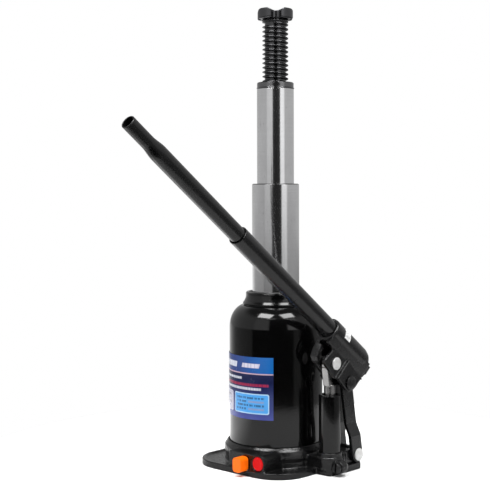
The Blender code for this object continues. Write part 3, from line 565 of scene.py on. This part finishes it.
def build_screw():
    """Core, bottom boss, top spigot and one closed helical ridge with a flat crest."""
    per_turn = 72
    low, high = screw_low.z + 9, saddle_low.z - 4.4
    shape = turned([(0, screw_low.z), (12, screw_low.z), (12, screw_low.z + 2), (9, screw_low.z + 2),
                    (9, screw_low.z + 7.6), (SCREW_ROOT, screw_low.z + 8), (SCREW_ROOT, saddle_low.z - 3.6),
                    (SCREW_CREST, saddle_low.z - 3.2), (SCREW_CREST, saddle_low.z - 0.3),
                    (8, saddle_low.z - 0.3),
                    (8, screw_high.z), (0, screw_high.z)], 96)
    section = ((SCREW_ROOT - 0.4, -2.0), (SCREW_ROOT + 0.1, -1.75), (SCREW_CREST - 0.35, -0.62),
               (SCREW_CREST, -0.35), (SCREW_CREST, 0.35), (SCREW_CREST - 0.35, 0.62),
               (SCREW_ROOT + 0.1, 1.75), (SCREW_ROOT - 0.4, 2.0))
    count = int((high - low) / SCREW_PITCH * per_turn)
    rings = []
    for step in range(count + 1):
        angle = -2 * math.pi * step / per_turn
        z = low + SCREW_PITCH * step / per_turn
        rings.append([shape.verts.new((r * math.cos(angle), r * math.sin(angle), z + dz))
                      for r, dz in section])
    size = len(section)
    for first, second in zip(rings, rings[1:]):
        for i in range(size):
            j = (i + 1) % size
            shape.faces.new((first[i], second[i], second[j], first[j]))
    shape.faces.new(rings[0])
    shape.faces.new(reversed(rings[-1]))
    bmesh.ops.recalc_face_normals(shape, faces=shape.faces)
    return piece("lifting_screw", shape)


place(weighted(build_screw()), "screw", "dark_steel", screw_steel, "extension_screw")


def build_saddle():
    """Forged head: four lobes parted by scallops, with two shallow troughs crossing its top."""
    radius, low, high = 19.5, saddle_low.z, saddle_high.z
    outline = filleted([(0, low), (18.5, low), (radius, low + 1), (radius, high - 0.8), (18.7, high),
                        (0, high)],
                       0.8)
    item = piece("saddle_head", turned(outline))
    cutters = [rod(8.3, low - 2, low + 6.3)]
    for corner in range(4):
        angle = math.radians(45 + 90 * corner)
        cutters.append(oriented(rod(5.4, low - 2, high + 2), "Z",
                                (20.2 * math.cos(angle), 20.2 * math.sin(angle), 0)))
    for angle in (45, 135):
        groove = oriented(rod(15.0, -30, 30, 96), "X", (0, 0, high + 12.0))
        bmesh.ops.rotate(groove, matrix=Matrix.Rotation(math.radians(angle), 3, "Z"), verts=groove.verts)
        cutters.append(groove)
    combine(item, "DIFFERENCE", cutters)
    return softened(item, 0.35, 5)


place(build_saddle(), "screw", "dark_steel", saddle_steel, "saddle")

# ---------------------------------------------------------------- pump
pump_low, pump_high = extent("pump_cylinder")
PUMP_X = (pump_low.x + pump_high.x) / 2
PUMP_R = (pump_high.x - pump_low.x) / 2
pump_profile = filleted([(6.6, pump_low.z), (PUMP_R, pump_low.z), (PUMP_R, pump_high.z - 0.8),
                         (PUMP_R - 0.8, pump_high.z), (8.3, pump_high.z), (8.3, pump_high.z - 11),
                         (6.6, pump_high.z - 11)], 0.4)
place(weighted(piece("pump_barrel", oriented(turned(pump_profile, 96), "Z", (PUMP_X, 0, 0)))), "base",
      "black_enamel", gloss_black, "pump_cylinder")

PIN_R = 4.0
TONGUE_BOTTOM = 91.2
EYE_R = 9.5
plunger_low = extent("pump_plunger")[0]


def build_plunger():
    profile = filleted([(0, plunger_low.z), (3.4, plunger_low.z), (3.4, plunger_low.z + 5),
                        (5.9, plunger_low.z + 5), (5.9, TONGUE_BOTTOM), (0, TONGUE_BOTTOM)], 0.4)
    item = piece("plunger_rod", oriented(turned(profile, SMALL_ROUND), "Z", (PUMP_X, 0, 0)))
    tongue = [(-5.8, TONGUE_BOTTOM - 1), (5.8, TONGUE_BOTTOM - 1)] + arc(PIN_PLUNGER, EYE_R, -30, 210, 36)
    combine(item, "UNION", [prism(tongue, PUMP_X - 4, PUMP_X + 4, "X")])
    hole = oriented(rod(PIN_R + 0.3, PUMP_X - 8, PUMP_X + 8), "X", (0, *PIN_PLUNGER))
    combine(item, "DIFFERENCE", [hole])
    return softened(item, 0.3, 4)


place(build_plunger(), "plunger", "ground_steel", plunger_steel, "pump_plunger")

# ---------------------------------------------------------------- socket, link and pins
SLEEVE_MOUTH = (-2.6, 148.9)
SLEEVE_LENGTH = 74.0
SLEEVE_R = 12.7
SLEEVE_BORE = 10.2
EAR_INNER = 4.3
EAR_SHEET = 4.0
EAR_STEP = 4.2
EAR_CREASE = -16.0
CREASE_ANGLE = 44.5
EAR_STEP_LINE = 18.5
UPPER_HOLE_R = 6.2


def handle_point(distance, lift=0.0):
    """(Y, Z) along the handle's axis from the sleeve's mouth, lifted off that axis."""
    along = math.radians(HANDLE_ANGLE)
    y = SLEEVE_MOUTH[0] - distance * math.cos(along) + lift * math.sin(along)
    z = SLEEVE_MOUTH[1] + distance * math.sin(along) + lift * math.cos(along)
    return y, z


def along_handle(shape):
    return oriented(shape, "handle", (PUMP_X, *SLEEVE_MOUTH))


def ear(side):
    outline = [handle_point(-1, -6), handle_point(-65, -4), (51, 101), (49.5, 96.8), (45.5, 94), (40.5, 92.5),
               (35.3, 92.4), (31.3, 89.3), (27.7, 86.2), (23.5, 83.8), (19, 82.8), (15.2, 82.8), (12.5, 84.6),
               (-16.5, 113.9), (-17.8, 116.4), (-16.5, 118.9), (-4, 127.4), handle_point(-1, -13.6)]
    return prism(outline, PUMP_X + side * EAR_INNER, PUMP_X + side * (EAR_INNER + EAR_STEP + EAR_SHEET), "X")


def step_line(offset):
    """A point on the ears' step line, with the directions across it and towards the upper pin."""
    toward = (Vector(PIN_UPPER) - Vector(PIN_PLUNGER)).normalized()
    return Vector(PIN_UPPER) + toward * (offset - EAR_STEP_LINE), Vector((-toward.y, toward.x)), toward


def flat_region():
    near, across, toward = step_line(0)
    far = near - toward * 60
    return [tuple(p) for p in (near + across * 60, near - across * 60, far - across * 60, far + across * 60)]


def crease_line(inset):
    """Where the step line meets the crease, the crease's direction, and the one across the step line."""
    near, across, toward = step_line(inset)
    start = Vector(handle_point(0, EAR_CREASE - inset))
    handle_way = Vector(handle_point(-1, 0)) - Vector(handle_point(0, 0))
    gap = start - near
    reach = ((gap.x * handle_way.y - gap.y * handle_way.x)
             / (across.x * handle_way.y - across.y * handle_way.x))
    slope = math.radians(-CREASE_ANGLE)
    return near + across * reach, Vector((math.cos(slope), math.sin(slope))), across


def pocket():
    """Corner (Y, Z) of the ears that is stepped outward round the link, inside the sheet."""
    corner, along, across = crease_line(1.5)
    low = corner - across * 80
    toward = Vector((across.y, -across.x))
    return [tuple(p) for p in (corner, low, low + toward * 80, corner + along * 80)]


def above_crease():
    """Region (Y, Z) of the ears above the crease, which stays flat."""
    corner, along, across = crease_line(0)
    start = corner - along * 60
    end = corner + along * 80
    normal = Vector((-along.y, along.x))
    return [tuple(p) for p in (start, end, end + normal * 80, start + normal * 80)]


def build_socket():
    end = -SLEEVE_LENGTH
    item = piece("socket_pressing", ear(-1))
    combine(item, "UNION", [ear(1)])
    steps = []
    for side in (-1, 1):
        face = PUMP_X + side * (EAR_INNER + EAR_SHEET)
        steps.append(prism(pocket(), PUMP_X + side * (EAR_INNER - 1),
                           PUMP_X + side * (EAR_INNER + EAR_STEP), "X"))
        steps.append(prism(flat_region(), face, PUMP_X + side * 20, "X"))
        steps.append(prism(above_crease(), face, PUMP_X + side * 21, "X"))
    combine(item, "DIFFERENCE", steps)
    shell = filleted([(0, 0), (SLEEVE_R, 0), (SLEEVE_R, end + 15), (SLEEVE_R - 1.2, end + 9),
                      (SLEEVE_R - 4, end + 4), (SLEEVE_R - 8, end + 1), (0, end)], 3.5)
    flank_x = EAR_INNER + EAR_SHEET + 0.1
    flanks = [(-SLEEVE_R + 0.3, -0.5), (SLEEVE_R - 0.3, -0.5), (flank_x, EAR_CREASE - 0.1),
              (-flank_x, EAR_CREASE - 0.1)]
    heel = [(-11.4, -2.5), (11.4, -2.5), (9.4, -12), (-9.4, -12)]
    tab = [(-17.8, 116), (-14.4, 116.5), (-15.2, 121.5), (-12.4, 127.5), (-6.5, 133), (-6.5, 135),
           (-10.4, 134.8),
           (-16, 129), (-19.6, 121.8)]
    combine(item, "UNION", [
        along_handle(turned(shell, 96)), along_handle(prism(flanks, end + 5, -1, "Z")),
        along_handle(prism(heel, end + 1.2, end + 14, "Z")), prism(tab, PUMP_X - 9.5, PUMP_X - 0.5, "X")])
    slot = [(-EAR_INNER, EAR_CREASE - 2), (EAR_INNER, EAR_CREASE - 2), (EAR_INNER, -SLEEVE_R),
            (-EAR_INNER, -SLEEVE_R)]
    combine(item, "DIFFERENCE", [
        along_handle(rod(SLEEVE_BORE, end + 7.5, 4)), along_handle(rod(5, end - 4, end + 12)),
        along_handle(prism(slot, end + 10, 4, "Z")),
        oriented(rod(PIN_R + 0.3, PUMP_X - 16, PUMP_X + 16), "X", (0, *PIN_PLUNGER)),
        oriented(rod(UPPER_HOLE_R, PUMP_X - 16, PUMP_X + 16), "X", (0, *PIN_UPPER))])
    return softened(item, 0.42, 6)


place(build_socket(), "socket", "satin_black", satin_black, "handle_socket")


def build_link(side):
    lean = math.degrees(math.atan2(PIN_UPPER[1] - PIN_LOWER[1], PIN_UPPER[0] - PIN_LOWER[0]))
    radius = 8.1
    outline = (arc(PIN_LOWER, radius, lean + 90, lean + 270, 24)
               + arc(PIN_UPPER, radius, lean - 90, lean + 90, 24))
    inner, outer = 4.4, 12.3
    lows, highs = sorted((PUMP_X + side * inner, PUMP_X + side * outer))
    name = "link_side_right" if side > 0 else "link_side_left"
    item = piece(name, prism(outline, lows, highs, "X"))
    upper_x, lower_x = inner + 3.9, outer - 4.1
    joggle = [(inner - 2, -20), (lower_x, -20), (lower_x, 35.5), (inner, 47.5), (inner - 2, 47.5)]
    shoulder = [(outer + 2, 120), (upper_x, 120), (upper_x, 47.9), (outer, 35.9), (outer + 2, 35.9)]
    cutters = [prism([(PUMP_X + side * x, z) for x, z in trim], -20, 80, "Y") for trim in (joggle, shoulder)]
    cutters += [oriented(rod(PIN_R + 0.3, PUMP_X - 16, PUMP_X + 16), "X", (0, y, z))
                for y, z in (PIN_LOWER, PIN_UPPER)]
    combine(item, "DIFFERENCE", cutters)
    return softened(item, 0.4, 5)


place(build_link(-1), "link", "satin_black", satin_black, "link_plate_left")
place(build_link(1), "link", "satin_black", satin_black, "link_plate_right")


def build_pin(name, centre, reach, head_r, crown):
    """A pin with a softly crowned head on the outer side and a clip groove on the other."""
    head = [(head_r * math.cos(math.radians(a)), reach + 1.4 + crown * math.sin(math.radians(a)))
            for a in range(0, 91, 10)]
    profile = [(0, -reach - 3), (PIN_R - 0.5, -reach - 3), (PIN_R, -reach - 2.5), (PIN_R, -reach - 1.6),
               (2.9, -reach - 1.6), (2.9, -reach - 0.4), (PIN_R, -reach - 0.4), (PIN_R, reach + 0.3),
               (head_r - 0.3, reach + 0.3), (head_r, reach + 0.6)] + head[:-1] + [(0, reach + 1.4 + crown)]
    return weighted(piece(name, oriented(turned(profile, SMALL_ROUND), "X", (PUMP_X, *centre))))


place(build_pin("lower_pin_turned", PIN_LOWER, 12.3, 6.4, 1.4), "base", "zinc", zinc, "lower_pin")
place(build_pin("upper_pin_turned", PIN_UPPER, 12.5, 7.2, 1.2), "link", "satin_black", satin_black,
      "upper_pin")
place(build_pin("plunger_pin_turned", PIN_PLUNGER, 8.3, 6.4, 1.4), "socket", "zinc", zinc, "plunger_pin")

# ---------------------------------------------------------------- handle
HANDLE_R = 9.8
HANDLE_BORE = 8.55
HANDLE_INSERT = 50.0
HANDLE_END = 165.5
GRIP_R = 8.25
GRIP_BORE = 7.05
GRIP_START = 126.0
GRIP_TAPER_START = 289.0
GRIP_TAPER_END = 305.4
GRIP_TIP_R = 6.7
GRIP_TIP_BORE = 5.5
GRIP_END = 332.6


def s_curve(radius_a, radius_b, low, high, steps=10):
    """Points of a smooth swage from one radius to the next."""
    points = []
    for i in range(steps + 1):
        t = i / steps
        blend = t * t * (3 - 2 * t)
        points.append((radius_a + (radius_b - radius_a) * blend, low + (high - low) * t))
    return points


lower_tube = filleted([(HANDLE_BORE, -HANDLE_INSERT), (HANDLE_R, -HANDLE_INSERT), (HANDLE_R, HANDLE_END),
                       (HANDLE_BORE, HANDLE_END)], 0.45)
place(weighted(piece("handle_tube_lower", along_handle(turned(lower_tube, 96)))), "handle_lower_body",
      "handle_black", handle_black, "handle_lower")
upper_tube = [(GRIP_BORE, GRIP_START), (GRIP_R - 0.3, GRIP_START), (GRIP_R, GRIP_START + 0.4)]
upper_tube += s_curve(GRIP_R, GRIP_TIP_R, GRIP_TAPER_START, GRIP_TAPER_END)
upper_tube += [(GRIP_TIP_R, GRIP_END - 0.4), (GRIP_TIP_R - 0.3, GRIP_END), (GRIP_TIP_BORE + 0.2, GRIP_END),
               (GRIP_TIP_BORE, GRIP_END - 0.3)]
upper_tube += s_curve(GRIP_TIP_BORE, GRIP_BORE, GRIP_TAPER_END, GRIP_TAPER_START)
place(weighted(piece("handle_tube_upper", along_handle(turned(upper_tube, 96)))), "handle_upper_body",
      "handle_black", handle_black, "handle_upper")

# ---------------------------------------------------------------- base
base_low, base_high = extent("base_casting")
FLANGE_TOP = 6.5
FLANGE_RIM = 4.0
FLANGE_RECESS = 1.5
FLANGE_CORNER = 35.0
FLANGE_X = -base_low.x
FRONT_FACE = -64.0
WELL_FLOOR = 14.0
CAP_X = 14.6
CAP_Z = 12.4
PLUG_X = 32.5
PLUG_Z = 14.1
VALVE_X = 90.5
VALVE_Z = 9.3
VALVE_FACE = 7.3


def build_base():
    front, rear = base_low.y, base_high.y
    plate = rounded_box(-FLANGE_X, FLANGE_X, front, rear, FLANGE_CORNER, 24)
    item = piece("jack_base", prism(plate, 0, FLANGE_TOP))
    recess = rounded_box(-FLANGE_X + FLANGE_RIM, FLANGE_X - FLANGE_RIM, front + FLANGE_RIM, rear - FLANGE_RIM,
                         FLANGE_CORNER - FLANGE_RIM, 24)
    combine(item, "DIFFERENCE", [prism(recess, FLANGE_TOP - FLANGE_RECESS, FLANGE_TOP + 1)])
    drum = [(0, 2), (54.2, 2), (54, 12), (55.0, 14.2), (55.3, 18), (54.6, 21.5), (52.6, 24.2),
            (51.5, base_high.z),
            (0, base_high.z)]
    valve_boss = [(-8, 0), (40.6, 0), (40.6, 19.5), (39.6, 21.8), (37.4, 22.75), (-6, 22.75), (-8, 21)]
    lug = [(10, 2), (PIN_LOWER[0] + 8, 2)] + arc(PIN_LOWER, 8, 0, 130, 20) + [(10, 20)]
    combine(item, "UNION", [
        turned(drum), prism(valve_boss, FRONT_FACE, -20, "Y"),
        prism(rounded_box(30, 84, -12, 15, 3), 0, 18), prism(rounded_box(56, 84.6, -11, 15, 3), 0, 8),
        oriented(turned([(0, 7), (13.6, 7), (14.3, 8), (14.3, 17.4), (13.1, 18.4), (13.1, 22.4), (12.5, 23),
                         (0, 23)], 96), "Z", (PUMP_X, 0, 0)),
        prism(rounded_box(63, 85.6, 8, 39, 4), 0, 7),
        oriented(turned([(0, -4.4), (4.6, -4.4), (6.5, 0), (6.5, VALVE_FACE), (0, VALVE_FACE)], SMALL_ROUND),
                 "-Y", (VALVE_X, 0, VALVE_Z)),
        prism(lug, PUMP_X - 7.9, PUMP_X + 7.9, "X")])
    combine(item, "DIFFERENCE", [
        prism(rounded_box(CAP_X - 6.2, CAP_X + 6.2, CAP_Z - 7.9, CAP_Z + 7.9, 3.3),
              front - 2, FRONT_FACE + 0.5,
              "Y"),
        rod(CASING_R + 0.3, WELL_FLOOR, base_high.z + 4, ROUND),
        oriented(rod(PUMP_R + 0.3, pump_low.z - 0.3, 30), "Z", (PUMP_X, 0, 0)),
        oriented(turned([(0, 0.2), (3.5, 0.2), (3.5, 7.3), (5.5, 7.3), (5.5, 18), (0, 18)],
                        SMALL_ROUND), "-Y",
                 (VALVE_X, 0, VALVE_Z)),
        oriented(rod(7.2, 60.5, 68), "-Y", (PLUG_X, 0, PLUG_Z)),
        oriented(rod(4.8, 50, 68), "-Y", (CAP_X, 0, 8.2)),
        oriented(rod(PIN_R + 0.3, PUMP_X - 12, PUMP_X + 12), "X", (0, *PIN_LOWER))])
    return softened(item, 0.75, 4)


place(build_base(), "base", "cast_enamel", cast_black, "base_casting")

# ---------------------------------------------------------------- valves, cap and plugs
cap_low, cap_high = extent("overload_cap")


def build_cap():
    """Moulded square cap with soft edges."""
    outline = rounded_box(cap_low.x + 0.2, cap_high.x - 0.2, cap_low.z + 0.2, cap_high.z - 0.2, 3.8)
    item = piece("valve_cap", prism(outline, cap_low.y + 0.2, cap_high.y, "Y"))
    return softened(item, 0.22, 22)


place(build_cap(), "base", "orange_plastic", orange, "overload_cap")

plug_low = extent("passage_plug")[0]
plug_profile = filleted([(0, 60.9), (6.9, 60.9), (6.9, 64.0), (6.0, -plug_low.y), (5.0, -plug_low.y),
                         (4.4, -plug_low.y - 0.5), (0, -plug_low.y - 0.5)], 0.3)
place(weighted(piece("sealing_plug", oriented(turned(plug_profile, SMALL_ROUND), "-Y", (PLUG_X, 0, PLUG_Z)))),
      "base", "red_plastic", red, "passage_plug")

def build_release():
    """Slotted head and shank of the release screw, facing the operator."""
    profile = filleted([(0, 0.6), (1.2, 0.6), (2.4, 2.0), (3.2, 2.6), (3.2, 3.8), (2.3, 3.8), (2.3, 5.6),
                        (3.2, 5.6), (3.2, 7.6), (5.2, 7.6), (5.2, 10.6), (4.4, 11.2), (0, 11.2)], 0.5)
    item = piece("release_screw", oriented(turned(profile, SMALL_ROUND), "-Y", (VALVE_X, 0, VALVE_Z)))
    slot = rounded_box(VALVE_X - 1.2, VALVE_X + 1.2, VALVE_Z - 8, VALVE_Z + 8, 0.3)
    combine(item, "DIFFERENCE", [prism(slot, -13, -8.7, "Y")])
    return softened(item, 0.2, 3)


place(build_release(), "release_spindle", "turned_steel", satin_black, "release_valve")

# ---------------------------------------------------------------- label and sticker
LABEL_START = -177.0
LABEL_STOP = -51.0
label_low, label_high = extent("casing_label")
LABEL_HEIGHT = label_high.z - label_low.z
LABEL_WIDTH = math.radians(LABEL_STOP - LABEL_START) * CASING_R


def build_label():
    """Thin wrapped film with a UV map: u round the casing, v up it."""
    steps = 96
    inner, outer = CASING_R + 0.3, CASING_R + 0.58
    outline = (arc((0, 0), outer, LABEL_START, LABEL_STOP, steps)
               + arc((0, 0), inner, LABEL_STOP, LABEL_START, steps))
    item = piece("printed_label", prism(outline, label_low.z, label_high.z))
    layer = item.data.uv_layers.new(name="label")
    for loop in item.data.loops:
        point = item.data.vertices[loop.vertex_index].co / MM
        angle = math.degrees(math.atan2(point.y, point.x))
        layer.data[loop.index].uv = ((angle - LABEL_START) / (LABEL_STOP - LABEL_START),
                                     (point.z - label_low.z) / LABEL_HEIGHT)
    return weighted(item)


place(build_label(), "base", "label_film", label_print(), "casing_label")
nodes["socket_sticker"].data.materials.clear()
nodes["socket_sticker"].data.materials.append(sticker_print())

# ---------------------------------------------------------------- finishes of the CAD nodes that stay
KEPT = {
    "seal_rubber": black_rubber, "turned_steel": plain_steel, "ground_steel": ram_steel, "zinc": zinc,
    "black_enamel": gloss_black, "satin_black": satin_black, "dark_steel": screw_steel,
    "orange_plastic": orange, "red_plastic": red, "cast_enamel": cast_black, "handle_black": handle_black,
}
for entry in frame["record"]["subparts"]:
    finish = KEPT.get(entry["material_slot"])
    kept = nodes[entry["node"]]
    if finish is not None:
        kept.data.materials.clear()
        kept.data.materials.append(finish)

# ---------------------------------------------------------------- floor, lights and camera
# grey of the room by azimuth in degrees to the right of the camera, seen only in reflections
WALLS = ((-180, 0.5), (-110, 0.5), (-90, 0.50), (-58, 0.50), (-53, 0.68), (-19, 0.70), (-16, 0.010),
         (28, 0.010),
         (31, 1.15), (55, 1.05), (60, 0.52), (110, 0.5), (180, 0.5))
LOW_WALLS = ((-180, 0.95), (-150, 0.90), (-118, 0.30), (-62, 0.20), (-59, 0.010), (42, 0.010),
             (47, 0.18), (100, 0.22),
             (180, 0.25))
CEILING = ((-180, 0.10), (180, 0.10))

view = math.radians(VIEW_AZIMUTH)
right = Vector((math.cos(view), math.sin(view), 0))
front = Vector((math.sin(view), -math.cos(view), 0))
up = Vector((0, 0, 1))


def around(azimuth, elevation, distance, height=0.25):
    """A place seen from the jack: azimuth to the right of the camera, both angles in degrees."""
    a, e = math.radians(azimuth), math.radians(elevation)
    flat = front * math.cos(a) + right * math.sin(a)
    return flat * (distance * math.cos(e)) + up * (height + distance * math.sin(e))


def aim(item, target):
    item.rotation_mode = "QUATERNION"
    item.rotation_quaternion = (target - item.location).to_track_quat("-Z", "Y")


def softbox(name, azimuth, elevation, distance, width, height, power, target=Vector((0, 0, 0.22))):
    light = bpy.data.lights.new(name, "AREA")
    light.shape = "RECTANGLE"
    light.size, light.size_y = width, height
    light.energy = power
    item = bpy.data.objects.new(name, light)
    scene.collection.objects.link(item)
    item.location = around(azimuth, elevation, distance)
    aim(item, target)
    item.visible_camera = False
    return item


def floor():
    """A pale round table with a soft edge, darker to reflections than it looks."""
    shape = turned([(0, -2), (FLOOR_R - 4, -2), (FLOOR_R, -1), (FLOOR_R, -0.5), (FLOOR_R - 4, 0), (0, 0)], 128)
    item = piece("pale_floor", shape)
    g = Graph("pale_floor")
    cloth = g.mix(g.noise(6, 3.0), grey(0.95), grey(0.97))
    path = g.node("ShaderNodeLightPath")
    split = g.node("ShaderNodeSeparateXYZ")
    g.link(g.coords, split.inputs[0])
    seen = g.mix(g.ramp(split.outputs[0], -0.18, -0.06, 1.0, 0.0), grey(0.40), grey(0.95))
    g.set(Base_Color=g.mix(path.outputs["Is Glossy Ray"], cloth, seen))
    g.set(Specular_IOR_Level=0.0)
    g.set(Roughness=g.ramp(g.noise(30, 3.0), 0.3, 0.7, 0.55, 0.65))
    item.data.materials.append(g.material)


def studio_world():
    """White to the camera; to reflections a room whose walls differ by direction and height."""
    world = bpy.data.worlds.new("studio")
    scene.world = world
    world.use_nodes = True
    tree = world.node_tree
    tree.nodes.clear()
    make = tree.nodes.new
    coords = make("ShaderNodeTexCoord")

    def dot(direction):
        product = make("ShaderNodeVectorMath")
        product.operation = "DOT_PRODUCT"
        product.inputs[1].default_value = direction
        tree.links.new(coords.outputs["Generated"], product.inputs[0])
        return product.outputs["Value"]

    def maths(operation, first, second):
        step = make("ShaderNodeMath")
        step.operation = operation
        for socket, value in zip(step.inputs, (first, second)):
            if isinstance(value, bpy.types.NodeSocket):
                tree.links.new(value, socket)
            else:
                socket.default_value = value
        return step.outputs[0]

    azimuth = maths("MULTIPLY", maths("ARCTAN2", dot(right), dot(front)), 1 / 360 * 180 / math.pi)
    azimuth = maths("ADD", azimuth, 0.5)

    def ring(stops):
        """Grey by azimuth in degrees, to the right of the camera."""
        ramp = make("ShaderNodeValToRGB")
        elements = ramp.color_ramp.elements
        elements[0].position, elements[0].color = stops[0][0] / 360 + 0.5, grey(stops[0][1])
        elements[1].position, elements[1].color = stops[-1][0] / 360 + 0.5, grey(stops[-1][1])
        for angle, value in stops[1:-1]:
            elements.new(angle / 360 + 0.5).color = grey(value)
        tree.links.new(azimuth, ramp.inputs[0])
        return ramp.outputs[0]

    def blend(height, low, high, below, above):
        mask = make("ShaderNodeMapRange")
        mask.interpolation_type = "SMOOTHSTEP"
        mask.inputs["From Min"].default_value = low
        mask.inputs["From Max"].default_value = high
        tree.links.new(height, mask.inputs["Value"])
        mixed = make("ShaderNodeMix")
        mixed.data_type = "RGBA"
        tree.links.new(mask.outputs[0], mixed.inputs["Factor"])
        tree.links.new(below, mixed.inputs[6])
        tree.links.new(above, mixed.inputs[7])
        return mixed.outputs[2]

    height = dot(up)
    colour = blend(height, -0.07, -0.04, ring(LOW_WALLS), ring(WALLS))
    colour = blend(height, 0.55, 0.8, colour, ring(CEILING))
    room = make("ShaderNodeBackground")
    tree.links.new(colour, room.inputs["Color"])
    white = make("ShaderNodeBackground")
    white.inputs["Color"].default_value = grey(1.0)
    white.inputs["Strength"].default_value = 1.0
    path = make("ShaderNodeLightPath")
    mix = make("ShaderNodeMixShader")
    output = make("ShaderNodeOutputWorld")
    tree.links.new(path.outputs["Is Camera Ray"], mix.inputs[0])
    tree.links.new(room.outputs[0], mix.inputs[1])
    tree.links.new(white.outputs[0], mix.inputs[2])
    tree.links.new(mix.outputs[0], output.inputs["Surface"])


def camera():
    """Level camera at the photograph's height, shifted so that the jack falls where it was framed."""
    lens = bpy.data.cameras.new("camera")
    lens.sensor_width = 36.0
    lens.lens = 81.8
    lens.clip_start = 0.05
    lens.shift_x = -0.0624
    lens.shift_y = -0.1094
    item = bpy.data.objects.new("camera", lens)
    scene.collection.objects.link(item)
    item.location = front * CAMERA_DISTANCE + up * CAMERA_HEIGHT
    aim(item, up * CAMERA_HEIGHT)
    item.rotation_quaternion = item.rotation_quaternion @ Quaternion((0, 0, 1), math.radians(-0.12))
    scene.camera = item


floor()
studio_world()
softbox("front_left", -38, 52, 1.0, 0.55, 0.40, 9)
softbox("front_right", 42, 52, 1.0, 0.50, 0.40, 7)
softbox("overhead", 180, 80, 1.3, 1.2, 1.2, 30).visible_glossy = False
camera()
scene.view_settings.view_transform = "Standard"
